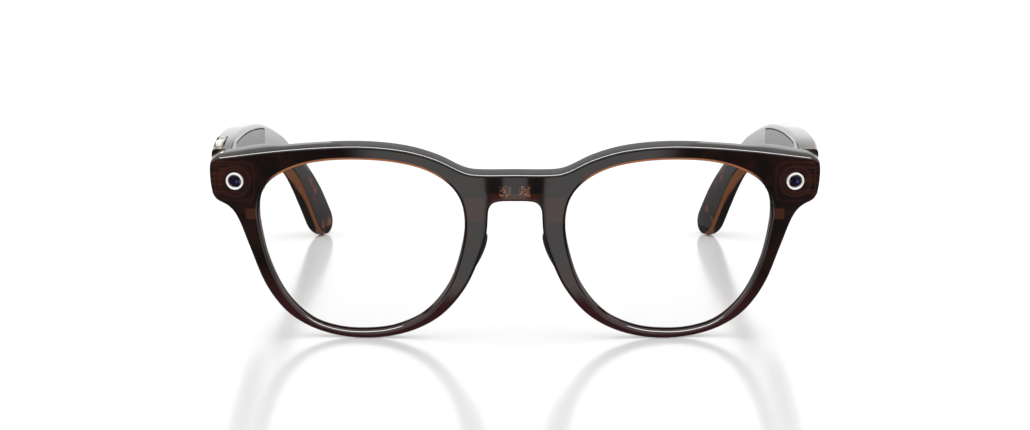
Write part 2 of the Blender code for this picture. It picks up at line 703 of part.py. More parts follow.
def build_temple(side, word, datum):
    """The shell with its hollow, the inner cover and the electronics between them."""
    shell = add_object("temple_shell_" + word, temple_body_mesh(side), "shell", datum)
    start, end = HOLLOW
    recess = add_object("cover_recess_cutter_" + word,
                        layer_mesh(side, start, end, RIM_WALL, -2.0, COVER_PLATE + GAP), None,
                        datum)
    hollow = add_object("hollow_cutter_" + word,
                        layer_mesh(side, start + LEDGE, end - LEDGE, RIM_WALL + LEDGE, 0.5,
                                   from_outer=WALL), None, datum)
    cut(shell, recess)
    cut(shell, hollow)
    cover = add_object("temple_cover_" + word,
                       layer_mesh(side, start + GAP, end - GAP, RIM_WALL + GAP, 0.0,
                                  COVER_PLATE), "cover", datum)

    def inside(name, size, finish, back, up, depth, chamfer=0.0):
        piece = add_object(name, box_mesh(size, chamfer), finish)
        return place_inside(piece, side, back, up, depth, datum)

    under_cover = COVER_PLATE + GAP
    inside("battery_" + word, (1.9, 25.0, 10.0), "foil", 58.0, 0.0, under_cover + 1.0, 0.35)
    film_depth = sample_frame(46.0)[4] * 2 - WALL - GAP - 0.1
    if side < 0:
        inside("touch_sensor", (0.2, 30.0, 7.4), "flex", 46.0, 0.2, film_depth)
        inside("processor", (0.8, 6.0, 5.0), "black", 34.0, -0.4, under_cover + 1.85, 0.1)
    else:
        inside("antenna", (0.2, 30.0, 7.4), "flex", 46.0, 0.2, film_depth)
        inside("power_controller", (0.8, 4.0, 4.0), "black", 36.0, -0.4, under_cover + 1.85, 0.1)
    inside("main_board_" + word, (0.7, 14.0, 7.0), "board", 36.0, -0.4, under_cover + 0.8)
    inside("microphone_" + word, (1.2, 3.2, 2.4), "foil", 23.0, -3.4, under_cover + 0.9, 0.15)
    inside("speaker_" + word, (2.4, 8.0, 8.0), "black", 77.6, 0.0, under_cover + 1.3, 0.3)
    return shell, cover


def build_speaker_vent(shell, side, word, datum):
    """A mesh insert in the temple's top edge, above the speaker."""
    row = sample_frame(VENT_BACK)
    half_width, half_length = VENT_HALF
    depth = row[4] + 0.9

    def at_the_vent(obj):
        return place_inside(obj, side, VENT_BACK, row[3], depth, datum)

    slot = add_object("vent_cutter_" + word,
                      prism_mesh(rounded_rectangle(half_width, half_length, 0.6), -1.3, 2.0),
                      None)
    cut(shell, at_the_vent(slot))
    insert = prism_mesh(rounded_rectangle(half_width - 0.25, half_length - 0.25, 0.4), -1.0, -0.1)
    at_the_vent(add_object("speaker_vent_" + word, insert, "mesh"))


def build_capture_button(shell, datum):
    """The long button on top of the right temple, over its switch."""
    row = sample_frame(BUTTON_BACK)
    half_length, half_width = BUTTON_LENGTH / 2, BUTTON_WIDTH / 2
    depth = row[4] + BUTTON_OFFSET
    floor = BUTTON_PROUD - BUTTON_DEPTH

    def on_top(obj):
        return place_inside(obj, -1, BUTTON_BACK, row[3], depth, datum)

    slot_loop = rounded_rectangle(half_width + GAP, half_length + GAP, half_width + 0.2, 4)
    slot = add_object("button_cutter", prism_mesh(slot_loop, floor - SWITCH_GAP - 1.3, 2.0), None)
    cut(shell, on_top(slot))
    button_loop = rounded_rectangle(half_width, half_length, half_width - 0.05, 4)
    on_top(add_object("capture_button", prism_mesh(button_loop, floor, BUTTON_PROUD, 'Z', 0.2),
                      "silver"))
    switch = prism_mesh(rounded_rectangle(0.9, 1.8, 0.3), floor - SWITCH_GAP - 1.0,
                        floor - SWITCH_GAP)
    on_top(add_object("capture_switch", switch, "steel"))


def build_power_slider(cover, datum):
    """The small slider that stands out of the left temple's inner cover, and its switch."""
    half_length, half_height = SLIDER_SIZE[0] / 2, SLIDER_SIZE[1] / 2

    def inside(obj, back, depth):
        return place_inside(obj, 1, back, SLIDER_UP, depth, datum)

    slot_loop = rounded_rectangle(half_length + SLIDER_TRAVEL / 2 + GAP, half_height + GAP, 0.6)
    slot = add_object("slider_cutter", prism_mesh(slot_loop, -2.0, 2.0, 'X'), None)
    cut(cover, inside(slot, SLIDER_BACK, COVER_PLATE / 2))
    knob = prism_mesh(rounded_rectangle(half_length, half_height, 0.5), -SLIDER_PROUD,
                      SLIDER_DEPTH, 'X', 0.15)
    inside(add_object("power_slider", knob, "cover"), SLIDER_BACK - SLIDER_TRAVEL / 2, 0.0)
    switch = add_object("power_switch", box_mesh((1.3, 6.6, 2.8), 0.15), "steel")
    inside(switch, SLIDER_BACK, SLIDER_DEPTH + GAP + 0.65)


# ---------------------------------------------------------------- hinges

def hinge_box(name, side, spans, finish, parent, grow=0.0):
    """A box given by its spans outward, back and up from the hinge axis."""
    size = [high - low + 2 * grow for low, high in spans]
    centre = [(low + high) / 2 for low, high in spans]
    data = box_mesh(size)
    bmesh.ops.translate(data, vec=(side * centre[0], centre[1], centre[2]), verts=data.verts)
    return add_object(name, data, finish, parent)


def hinge_cylinder(name, radius, low, high, finish, parent, count=20):
    return add_object(name, prism_mesh(circle(radius, count), low, high), finish, parent)


def join(body, other):
    join_step = body.modifiers.new("join_" + other.name, 'BOOLEAN')
    join_step.operation = 'UNION'
    join_step.solver = 'EXACT'
    join_step.object = other


def screw_mesh(shank_radius, head_radius, shank_low, shank_high, head_high, count=12):
    """A screw along Z: shank, then a wider head with a chamfered top."""
    levels = [(shank_radius, shank_low), (shank_radius, shank_high), (head_radius, shank_high),
              (head_radius, head_high - 0.1), (head_radius - 0.15, head_high)]
    return stack_mesh([[(p.x * r, p.y * r, z) for p in circle(1.0, count)] for r, z in levels])


def build_hinge(frame, shell, side, word, datum, front_axis):
    """A three-knuckle hinge: the front leaf has the outer knuckles, the temple leaf the
    middle one, and one screw runs down through all three."""
    split = KNUCKLE_HALF + GAP
    front_leaf = hinge_box("hinge_leaf_front_" + word, side, FRONT_LEAF, "steel", front_axis)
    barrel = hinge_cylinder("front_barrel_" + word, BARREL_RADIUS, -LEAF_HALF, LEAF_HALF, None,
                            front_axis)
    join(front_leaf, barrel)
    notch = hinge_box("front_notch_cutter_" + word, side,
                      ((-2.3, 4.0), (-4.0, 4.0), (-split, split)), None, front_axis)
    cut(front_leaf, notch)

    temple_leaf = hinge_box("hinge_leaf_temple_" + word, side, TEMPLE_LEAF, "steel", datum)
    join(temple_leaf, hinge_box("temple_tongue_" + word, side, TEMPLE_TONGUE, None, datum))
    join(temple_leaf, hinge_cylinder("temple_barrel_" + word, BARREL_RADIUS, -KNUCKLE_HALF,
                                     KNUCKLE_HALF, None, datum))
    bore = hinge_cylinder("hinge_bore_cutter_" + word, HINGE_BORE, -9.0, 9.0, None, front_axis, 16)
    cut(front_leaf, bore)
    cut(temple_leaf, bore)
    pin = screw_mesh(HINGE_PIN, BARREL_RADIUS - 0.3, -LEAF_HALF - 0.2, LEAF_HALF + GAP,
                     LEAF_HALF + GAP + 0.6)
    add_object("hinge_screw_" + word, pin, "steel", front_axis)

    def screw(name, at, turn, plate_face, plate_thickness, body, leaf, parent):
        """A leaf screw whose axis leaves the plate's outer face, with its holes."""
        head_low = plate_face + 0.25
        shank_low = plate_face - plate_thickness - 1.9
        piece = add_object(name, screw_mesh(SCREW_RADIUS, SCREW_HEAD, shank_low, head_low,
                                            head_low + HEAD_THICKNESS), "steel", parent)
        place(piece, at, turn)
        hole = hinge_cylinder(name + "_hole", SCREW_HOLE, shank_low - GAP, plate_face + 2.0, None,
                              parent, 12)
        place(hole, at, turn)
        cut(leaf, hole)
        cut(body, hole)

    leaf_face, leaf_thickness = FRONT_LEAF[1][1], FRONT_LEAF[1][1] - FRONT_LEAF[1][0]
    for row, (across, up) in zip(("upper", "lower"), FRONT_SCREWS):
        screw("front_leaf_screw_%s_%s" % (row, word), (side * across, 0, up),
              (-math.pi / 2, 0, 0), leaf_face, leaf_thickness, frame, front_leaf, front_axis)
    temple_face, temple_thickness = -TEMPLE_LEAF[0][0], TEMPLE_LEAF[0][1] - TEMPLE_LEAF[0][0]
    for row, back in zip(("fore", "aft"), TEMPLE_SCREWS):
        screw("temple_leaf_screw_%s_%s" % (row, word), (0, back, 0), (0, -side * math.pi / 2, 0),
              temple_face, temple_thickness, shell, temple_leaf, datum)


def main():
    for obj in list(bpy.data.objects):
        bpy.data.objects.remove(obj, do_unlink=True)
    front_datum = empty_at("front_datum", (0, SHIFT_Y, FRONT_Z), (FRONT_LEAN, 0, 0))
    frame = build_front(front_datum)
    build_bridge_parts(frame, front_datum)
    for side, word, prefix in ((1, "left", "camera"), (-1, "right", "led")):
        axis = (side * HINGE_X, SHIFT_Y + HINGE_Y, HINGE_Z)
        front_axis = empty_at("hinge_seat_" + word, axis)
        datum = empty_at("hinge_axis_" + word, axis)
        build_module(frame, front_datum, side, prefix)
        build_endpiece_cover(frame, side, word)
        add_object("nose_pad_" + word, nose_pad_mesh(side), "shell", front_datum)
        shell, cover = build_temple(side, word, datum)
        build_speaker_vent(shell, side, word, datum)
        build_hinge(frame, shell, side, word, datum, front_axis)
        if side < 0:
            build_capture_button(shell, datum)
        else:
            build_power_slider(cover, datum)


main()
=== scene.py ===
"""Smart glasses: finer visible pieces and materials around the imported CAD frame.

Lengths in the tables below are millimetres in the datums of the CAD source (the front leans
forward about X; each temple is measured back from the front). Vertices are made in metres.
"""

import json
import math

import bmesh
import bpy
from mathutils import Matrix, Vector


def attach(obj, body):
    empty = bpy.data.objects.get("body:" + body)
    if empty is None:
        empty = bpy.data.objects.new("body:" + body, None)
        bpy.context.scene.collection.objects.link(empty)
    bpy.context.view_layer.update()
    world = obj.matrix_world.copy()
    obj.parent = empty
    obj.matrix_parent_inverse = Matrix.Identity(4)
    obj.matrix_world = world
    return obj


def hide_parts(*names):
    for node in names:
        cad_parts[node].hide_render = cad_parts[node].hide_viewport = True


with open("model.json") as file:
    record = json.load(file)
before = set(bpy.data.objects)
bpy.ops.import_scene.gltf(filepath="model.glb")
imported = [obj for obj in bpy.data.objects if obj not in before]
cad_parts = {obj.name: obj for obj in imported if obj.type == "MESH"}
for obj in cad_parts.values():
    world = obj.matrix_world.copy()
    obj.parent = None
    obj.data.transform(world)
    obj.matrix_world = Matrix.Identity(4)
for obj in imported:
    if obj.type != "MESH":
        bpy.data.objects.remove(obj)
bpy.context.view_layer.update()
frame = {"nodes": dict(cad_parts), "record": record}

MM = 0.001
GAP = 0.3
PAST = 2.0  # how far a cutter reaches past the face that it opens
WELD = 1e-5  # points that are closer than this are one
SHARP_ANGLE, GLASS_SHARP_ANGLE, PAD_SHARP_ANGLE = 30, 60, 80
SIDES = ((1, "left"), (-1, "right"))

# ---- stance and front, as in the CAD ----
FRONT_LEAN = math.radians(9.0)
SHIFT_Y, FRONT_Z = -71.3, -0.344
FACE_RADIUS = 400.0
RIM_THICKNESS, BROW_THICKNESS = 3.4, 5.3
RIM_TO_BROW = (20.0, 38.0)
BLOCK_ACROSS, BLOCK_UP = (54.0, 63.5), (26.0, 34.0)  # where the rim runs into its end block
BLOCK_DEPTH = 10.5
JOINT_Y = 5.5
TOP_EDGE = [(0, 42.1), (8.6, 42.05), (12.4, 42.75), (18.5, 45.7), (26, 47.8), (35.5, 48.6),
            (46, 48.1), (58, 46.65), (71.7, 44.3)]
SIDE_EDGE = [(72.8, 43.7), (73.1, 41.4), (72.95, 37.5), (72.4, 34.6)]
LOWER_EDGE = [(71.4, 33.5), (69.6, 32.85), (67.7, 31.3), (66.1, 28.3), (63.9, 22.2),
              (60.5, 13.2), (56.0, 6.7), (50.6, 2.85), (44.3, 0.7), (37.4, 0.0), (30.4, 0.6),
              (23.4, 2.8), (17.2, 6.8), (12.1, 13.1), (8.9, 20.0), (6.9, 26.6), (6.5, 31.0),
              (6.4, 33.3)]
BRIDGE_EDGE = [(5.5, 34.9), (3.4, 35.35), (0, 35.4)]
OPENING = [(12.0, 29.2), (12.9, 35.3), (16.2, 39.9), (22.0, 43.2), (29.5, 44.8), (38.0, 45.15),
           (46.5, 44.4), (53.5, 42.3), (59.1, 38.5), (61.4, 33.0), (61.1, 27.3), (59.1, 18.5),
           (55.2, 10.2), (49.5, 4.5), (43.5, 2.25), (36.6, 1.8), (28.9, 3.0), (21.4, 6.9),
           (15.9, 14.0), (13.1, 22.0)]
CURVE_STEPS = 10  # samples between neighbouring outline points
OUTLINE_SPACING = 0.7  # distance between the points of a finished outline
EDGE_RADIUS = 0.55
OPENING_EDGE_RADIUS = 0.7
EDGE_STEPS = 4
EDGE_SUPPORT = 0.25  # flat strip kept between a rounded edge and the wide face
# cuts across the wide faces, so that they bend smoothly
GRID_SPACING, GRID_ACROSS, GRID_UP = 4.0, range(-18, 19), range(1, 12)

# ---- lenses ----
GROOVE_FRONT, GROOVE_BACK, GROOVE_DEPTH = 1.05, 2.35, 0.8
LENS_OVERLAP, LENS_THICKNESS, LENS_CROWN = 0.45, 1.2, 0.8
LENS_RINGS = 12
LENS_CENTRE = (36.4, 25.0)

# ---- modules, brow channel, bridge ----
MODULE_AT = (67.1, 38.7)
BEZEL_INNER, MODULE_BORE = 1.65, 2.45
BEZEL_PROFILE = [(BEZEL_INNER, 0.1), (BEZEL_INNER, 1.3), (2.15, 1.3), (2.15, 0.05),
                 (2.09, -0.06), (1.99, -0.12), (1.77, -0.12), (1.69, -0.06)]  # radius, depth
WINDOW_GAP, WINDOW_EDGE, WINDOW_BACK, WINDOW_DOME, DOME_STEPS = 0.08, 0.3, 0.72, 0.2, 8
AXIS_RADIUS = 0.0001  # keeps the middle of a turned solid open by a hair
TURN_STEPS, BORE_END = 64, 3.0
POCKET_HALF, POCKET_FLOOR, POCKET_END, POCKET_CORNER = (2.9, 3.1), 1.5, 12.0, 0.8
REAR_COVER_HALF, REAR_COVER_THICKNESS = (3.5, 3.9), 0.8
RECESS_CORNER, REAR_COVER_CORNER, REAR_COVER_EDGE = 0.9, 0.6, 0.12
CHANNEL_FLOOR, CHANNEL_END, CHANNEL_TOP_WALL, CHANNEL_HEIGHT = 3.5, 60.0, 0.85, 1.7
COVER_THICKNESS = 0.8
BRIDGE_ROW = 37.7
CONTACT_HALF_PITCH, CONTACT_RADIUS, CONTACT_THICKNESS, CONTACT_PROUD = 2.5, 1.05, 1.2, 0.1
CONTACT_EDGE, CONTACT_STEPS, SEAT_SLACK = 0.1, 48, 0.25
MICROPHONE_HALF, MICROPHONE_DEPTH, PORT_CORNER = 0.55, 0.9, 0.4
# nose pads: height, across from and to, and how far they stand out
PAD_STATIONS = [(26.6, 7.6, 10.2, 1.0), (25.0, 6.9, 10.7, 3.0), (22.0, 7.5, 11.6, 4.4),
                (18.5, 9.0, 13.0, 5.0), (15.0, 11.1, 14.8, 4.6), (12.4, 13.1, 16.2, 3.2),
                (10.6, 14.8, 17.0, 1.4)]
# its section: share of the way across, then aside and out as shares of how far it stands out
PAD_SECTION = [(0, -0.1, 0.55), (0, 0.1, 0.95), (0.5, 0, 0.9), (1, -0.1, 0.45)]
PAD_INSET, PAD_STEPS = 0.25, (6, 5)

# ---- temples: top (back, up), bottom (back, up), across at the top and bottom, thickness ----
STATIONS = [
    ((5.65, 45.7), (5.65, 34.3), 70.65, 70.65, 5.0),
    ((16, 46.6), (16, 32.5), 71.1, 71.1, 5.2),
    ((30, 46.4), (30, 30.8), 71.35, 71.35, 5.4),
    ((46, 45.6), (46, 28.7), 71.4, 71.4, 5.6),
    ((63, 44.1), (62, 26.3), 71.35, 71.35, 5.8),
    ((79, 42.2), (76.5, 24.7), 71.1, 71.2, 5.7),
    ((93, 39.9), (89, 24.4), 70.6, 70.6, 5.0),
    ((104, 37.7), (100, 25.2), 70.0, 69.9, 4.4),
    ((114.5, 35.1), (110, 25.6), 69.2, 69.0, 4.0),
    ((123.5, 32.4), (118.8, 25.0), 68.2, 68.1, 3.9),
    ((131.2, 29.1), (125.8, 23.2), 67.0, 67.0, 3.8),
    ((138.4, 25.0), (130.6, 20.0), 65.0, 65.4, 3.8),
    ((143.6, 20.2), (133.2, 16.0), 62.5, 63.8, 3.8),
    ((147.0, 13.7), (135.7, 10.7), 59.3, 62.1, 3.8),
    ((149.4, 6.48), (138.8, 4.48), 56.5, 60.3, 3.7),
]
TIP_RADIUS, TIP_STEPS, STATION_STEPS = 5.9, 12, 6
TIP_END, TIP_THINNING = 0.35, 0.45  # how blunt the tip ends, and how much it thins
CORNER_RADIUS, CORNER_STEPS, CORNER_SHARES = 1.0, 5, (0.6, 0.45)  # of the half section
WALL, RIM_WALL, LEDGE, COVER_PLATE = 1.2, 1.3, 0.9, 1.0
HOLLOW, HOLLOW_START = (18.5, 84.0), 0.5
STATION_CLEAR, PITCH_REACH = 0.5, 4.0  # from a plate's end to a station, and to take a slope

# ---- controls ----
BUTTON_LENGTH, BUTTON_WIDTH, BUTTON_DEPTH = 13.0, 1.9, 2.1
BUTTON_BACK, BUTTON_PROUD, BUTTON_OFFSET, SWITCH_GAP = 14.8, 0.4, 0.8, 0.7
BUTTON_SLACK, BUTTON_EDGE, BUTTON_STEPS, SLOT_SLACK, SWITCH_POCKET = 0.05, 0.22, 10, 0.2, 1.3
SADDLE_END, SADDLE_SLOPE, SADDLE_DEPTH = 1.5, 1.2, 0.28
SADDLE_CUTS, SADDLE_SPACING = 12, 0.5
SLIDER_BACK, SLIDER_UP, SLIDER_SIZE, SLIDER_TRAVEL = 23.2, 1.0, (4.4, 1.9), 1.5
SLIDER_SLOT_CORNER = 0.6
VENT_BACK, VENT_HALF, VENT_OFFSET, VENT_DEPTH = 73.0, (0.95, 3.3), 0.9, 1.3
VENT_CORNER, GRILLE_CORNER, GRILLE_BACK, GRILLE_FRONT = 0.6, 0.4, 1.0, 0.1

# ---- camera and light ----
CAMERA_AT = (0.0, -0.6713, 0.13229)
CAMERA_PITCH = math.radians(9.627)
CAMERA_LENS, CAMERA_SENSOR = 88.69, 36.0
CAMERA_CLIP = (0.05, 60.0)
WORLD_STRENGTH, WORLD_DARKEST = 1.28, 0.03
# the world's dark parts: where each starts and is full in direction, and how dark it is
PIT_AHEAD, PIT_DOWN = (-0.2, -0.5), (0.0, -0.12)
UNDER_DOWN, UNDER_SHADE = (-0.07, -0.19), 0.86
HOOD_BACK, HOOD_UP, HOOD_SHADE = (0.3, 0.6), (0.30, 0.42), 0.6
FLANK_ASIDE, FLANK_BACK, FLANK_DOWN, FLANK_SHADE = (0.12, 0.25), (0.2, 0.4), (0.20, 0.08), 0.70
FLOOR_HALF = 12.0
SOFTBOX_AT, SOFTBOX_AIM = (0, -0.50, 0.95), (0, -0.05, 0.03)
SOFTBOX_SIZE, SOFTBOX_POWER = (1.5, 0.5), 60.0
# cards that show only in reflections: two side cards and a middle one ahead, one behind the brow
CARD_Y, CARD_LOW, CARD_HIGH = -0.276, -0.125, -0.035
SIDE_INNER, SIDE_OUTER, SIDE_GLOW = (0.0140, 0.0185), 0.160, 1.35
SIDE_FADE, SIDE_FOOT = (0.078, 0.102), (-0.108, -0.100)
MIDDLE_HALF, MIDDLE_GLOW = (0.0060, 0.0075), 1.2
BROW_CARD_Y, BROW_CARD_HALF, BROW_CARD_UP, BROW_GLOW = 0.03, 0.055, (0.055, 0.13), 0.42


# ======== plain geometry

def smooth_curve(points, steps, closed=False):
    """Catmull-Rom curve through the points, with this many samples between neighbours."""
    count = len(points)
    curve = []
    for i in range(count if closed else count - 1):
        p = []
        for j in (i - 1, i, i + 1, i + 2):
            p.append(Vector(points[j % count if closed else min(max(j, 0), count - 1)]))
        for s in range(steps):
            t = s / steps
            curve.append(0.5 * (2 * p[1] + (p[2] - p[0]) * t
                                + (2 * p[0] - 5 * p[1] + 4 * p[2] - p[3]) * t ** 2
                                + (3 * p[1] - p[0] - 3 * p[2] + p[3]) * t ** 3))
    if not closed:
        curve.append(Vector(points[-1]))
    return curve


def smoothstep(value, low, high):
    t = min(max((value - low) / (high - low), 0.0), 1.0)
    return t * t * (3 - 2 * t)


def even_loop(loop, spacing, relax=2):
    """The closed loop with points at an even distance, and its corners eased a little."""
    lengths = [(loop[(i + 1) % len(loop)] - p).length for i, p in enumerate(loop)]
    total = sum(lengths)
    count = 2 * round(total / spacing / 2)
    points, i, passed = [], 0, 0.0
    for k in range(count):
        target = total * k / count
        while passed + lengths[i] < target:
            passed += lengths[i]
            i += 1
        points.append(loop[i].lerp(loop[(i + 1) % len(loop)], (target - passed) / lengths[i]))
    for _ in range(relax):
        points = [(points[k - 1] + 2 * p + points[(k + 1) % count]) / 4
                  for k, p in enumerate(points)]
    return points


def offset_loop(loop, distance):
    """Move each point of a closed anticlockwise loop outward by the distance."""
    moved = []
    for i, point in enumerate(loop):
        along = (loop[(i + 1) % len(loop)] - loop[i - 1]).normalized()
        moved.append(point + Vector((along.y, -along.x)) * distance)
    return moved


def mirrored(loop):
    return [Vector((-p.x, p.y)) for p in reversed(loop)]


def rounded_rectangle(half_width, half_height, radius, steps=6):
    loop = []
    for quarter in range(4):
        angle = math.pi / 2 * quarter
        sign_x = 1 if quarter in (0, 3) else -1
        sign_y = 1 if quarter in (0, 1) else -1
        centre = Vector((sign_x * (half_width - radius), sign_y * (half_height - radius)))
        for s in range(steps + 1):
            a = angle + math.pi / 2 * s / steps
            loop.append(centre + Vector((math.cos(a), math.sin(a))) * radius)
    return loop


def circle(radius, count):
    return [Vector((math.cos(math.tau * i / count), math.sin(math.tau * i / count))) * radius
            for i in range(count)]


def round_edge(radius, steps=EDGE_STEPS):
    """Inset and depth along a quarter round, from the wide face to the wall."""
    turns = [math.pi / 2 * k / steps for k in range(steps + 1)]
    return [(radius * (1 - math.sin(a)), radius * (1 - math.cos(a))) for a in turns]


# ======== objects

def join_rows(data, first, second):
    """Faces between two rings of matching vertices."""
    for i in range(len(first)):
        j = (i + 1) % len(first)
        data.faces.new((first[i], first[j], second[j], second[i]))


def slice_mesh(data, point, normal):
    """New edges where a plane meets the mesh."""
    bmesh.ops.bisect_plane(data, geom=data.verts[:] + data.edges[:] + data.faces[:], dist=WELD,
                           plane_co=point, plane_no=normal)


def stack_mesh(rings):
    """Closed body through rings of matching points, with a cap at each end."""
    data = bmesh.new()
    rows = [[data.verts.new(p) for p in ring] for ring in rings]
    for lower, upper in zip(rows, rows[1:]):
        join_rows(data, lower, upper)
    data.faces.new(list(reversed(rows[0])))
    data.faces.new(rows[-1])
    return data


def prism_mesh(loop, low, high, axis='Z', rounding=0.0):
    """A flat outline given thickness along an axis, with its rims rounded."""
    layers = [(low, 0.0), (high, 0.0)]
    if rounding:
        edge = round_edge(rounding)
        layers = [(low + depth, -inset) for inset, depth in edge]
        layers += [(high - depth, -inset) for inset, depth in reversed(edge)]
    rings = []
    for level, inset in layers:
        shape = offset_loop(loop, inset) if inset else loop
        if axis == 'Z':
            rings.append([(p.x, p.y, level) for p in shape])
        elif axis == 'Y':
            rings.append([(p.x, level, p.y) for p in shape])
        else:
            rings.append([(level, p.x, p.y) for p in shape])
    return stack_mesh(rings)


def lathe_mesh(profile):
    """A closed profile (radius, depth) swept round the Y axis."""
    data = bmesh.new()
    rows = []
    for turn in circle(1.0, TURN_STEPS):
        rows.append([data.verts.new((turn.x * r, y, turn.y * r)) for r, y in profile])
    for row, following in zip(rows, rows[1:] + rows[:1]):
        join_rows(data, row, following)
    bmesh.ops.remove_doubles(data, verts=data.verts, dist=WELD)
    return data


def place_mesh(mesh_data, matrix):
    bmesh.ops.transform(mesh_data, matrix=matrix, verts=mesh_data.verts)
    return mesh_data


def add_object(name, data):
    obj = bpy.data.objects.new(name, data)
    bpy.context.scene.collection.objects.link(obj)
    return obj


def add_piece(name, mesh_data, material=None, sharp=SHARP_ANGLE):
    """Turn a bmesh in millimetres, already in world position, into an object in metres."""
    bmesh.ops.scale(mesh_data, vec=(MM, MM, MM), verts=mesh_data.verts)
    bmesh.ops.recalc_face_normals(mesh_data, faces=mesh_data.faces)
    mesh = bpy.data.meshes.new(name)
    mesh_data.to_mesh(mesh)
    mesh_data.free()
    obj = add_object(name, mesh)
    mesh.shade_smooth()
    mesh.set_sharp_from_angle(angle=math.radians(sharp))
    if material:
        mesh.materials.append(material)
    return obj


def add_prism(name, loop, low, high, axis, seat, rounding=0.0, material=None):
    """A flat outline given thickness and put in its seat."""
    return add_piece(name, place_mesh(prism_mesh(loop, low, high, axis, rounding), seat),
                     material)


def cut(target, cutters):
    """Take the cutters out of the target, and remove them."""
    for cutter in cutters:
        step = target.modifiers.new("cut", 'BOOLEAN')
        step.operation = 'DIFFERENCE'
        step.solver = 'EXACT'
        step.object = cutter
    finished = bpy.data.meshes.new_from_object(
        target.evaluated_get(bpy.context.evaluated_depsgraph_get()))
    target.modifiers.clear()
    target.data = finished
    finished.shade_smooth()
    finished.set_sharp_from_angle(angle=math.radians(SHARP_ANGLE))
    for cutter in cutters:
        bpy.data.objects.remove(cutter)


def stand_in(piece, body, material_slot, *nodes):
    """The piece moves with a body and is shown in place of these CAD nodes."""
    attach(piece, body)
    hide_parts(*nodes)
    return piece


# ======== front shape

FRONT_MATRIX = Matrix.Translation((0, SHIFT_Y, FRONT_Z)) @ Matrix.Rotation(FRONT_LEAN, 4, 'X')


def rear_depth(across, height):
    """Depth of the front's rear face: the curved rim, running out into the upright block."""
    thickness = RIM_THICKNESS + (BROW_THICKNESS - RIM_THICKNESS) * smoothstep(height,
                                                                             *RIM_TO_BROW)
    rim = thickness + across ** 2 / (2 * FACE_RADIUS)
    joint = (JOINT_Y - GAP / 2 + height * math.sin(FRONT_LEAN)) / math.cos(FRONT_LEAN)
    share = smoothstep(abs(across), *BLOCK_ACROSS) * smoothstep(height, *BLOCK_UP)
    return rim + (joint - rim) * share


def front_point(point, depth, from_rear=False):
    """World point at a depth behind the front face, or ahead of the rear face."""
    if from_rear:
        depth = rear_depth(point.x, point.y) - depth
    else:
        depth += point.x ** 2 / (2 * FACE_RADIUS)
    return FRONT_MATRIX @ Vector((point.x, depth, point.y))


def outer_outline():
    half = []
    for edge in (TOP_EDGE, SIDE_EDGE, LOWER_EDGE, BRIDGE_EDGE):
        half += smooth_curve(edge, CURVE_STEPS)
    right = half[1:-1]
    clockwise = [half[0]] + right + [half[-1]] + [Vector((-p.x, p.y)) for p in reversed(right)]
    return even_loop(list(reversed(clockwise)), OUTLINE_SPACING)


def opening_outline():
    return even_loop(list(reversed(smooth_curve(OPENING, CURVE_STEPS, closed=True))),
                     OUTLINE_SPACING)


def boundary_loops(data):
    """Ordered loops of vertices round a flat sheet."""
    following = {}
    for edge in data.edges:
        if len(edge.link_faces) == 1:
            loop = edge.link_loops[0]
            following[loop.vert] = loop.link_loop_next.vert
    loops = []
    while following:
        start, vert = next(iter(following.items()))
        chain = [start]
        del following[start]
        while vert is not start:
            chain.append(vert)
            vert = following.pop(vert)
        loops.append(chain)
    return loops


def flat_front_sheet():
    """The wide face between the outlines, cut by a grid, as triangles and quads in a plane."""
    support = OPENING_EDGE_RADIUS + EDGE_SUPPORT
    data = bmesh.new()
    edges = []
    outlines = [offset_loop(outer_outline(), -EDGE_RADIUS - EDGE_SUPPORT),
                offset_loop(opening_outline(), support),
                offset_loop(mirrored(opening_outline()), support)]
    for outline in outlines:
        verts = [data.verts.new((p.x, 0, p.y)) for p in outline]
        edges += [data.edges.new((v, verts[(i + 1) % len(verts)])) for i, v in enumerate(verts)]
    bmesh.ops.triangle_fill(data, use_beauty=True, use_dissolve=False, edges=edges)
    cuts = [((x * GRID_SPACING, 0, 0), (1, 0, 0)) for x in GRID_ACROSS]
    cuts += [((0, 0, z * GRID_SPACING), (0, 0, 1)) for z in GRID_UP]
    for point, normal in cuts:
        slice_mesh(data, point, normal)
    bmesh.ops.recalc_face_normals(data, faces=data.faces)
    if data.faces[:][0].normal.y > 0:
        bmesh.ops.reverse_faces(data, faces=data.faces)
    return data


def front_frame_mesh():
    """Both rims, bridge and endpieces: the flat sheet is bent to the front and rear faces, and
    rounded edges and the lens grooves join the two along every outline."""
    flat = flat_front_sheet()
    data = bmesh.new()
    front, rear = {}, {}
    for vert in flat.verts:
        point = Vector((vert.co.x, vert.co.z))
        front[vert] = data.verts.new(front_point(point, 0))
        rear[vert] = data.verts.new(front_point(point, 0, True))
    for face in flat.faces:
        data.faces.new([front[v] for v in face.verts])
        data.faces.new([rear[v] for v in reversed(face.verts)])
    for chain in boundary_loops(flat):
        loop = [Vector((v.co.x, v.co.z)) for v in chain]
        turns_left = sum(a.cross(b) for a, b in zip(loop, loop[1:] + loop[:1])) > 0
        radius = EDGE_RADIUS if turns_left else OPENING_EDGE_RADIUS
        support = radius + EDGE_SUPPORT
        rounding = round_edge(radius)
        rows = [(inset, depth, False) for inset, depth in rounding]
        if not turns_left:
            rows += [(0, GROOVE_FRONT, False), (GROOVE_DEPTH, GROOVE_FRONT, False),
                     (GROOVE_DEPTH, GROOVE_BACK, False), (0, GROOVE_BACK, False)]
        rows += [(inset, depth, True) for inset, depth in reversed(rounding)]
        previous = [front[v] for v in chain]
        for inset, depth, from_rear in rows:
            current = [data.verts.new(front_point(p, depth, from_rear))
                       for p in offset_loop(loop, support - inset)]
            join_rows(data, previous, current)
            previous = current
        join_rows(data, previous, [rear[v] for v in chain])
    flat.free()
    return data


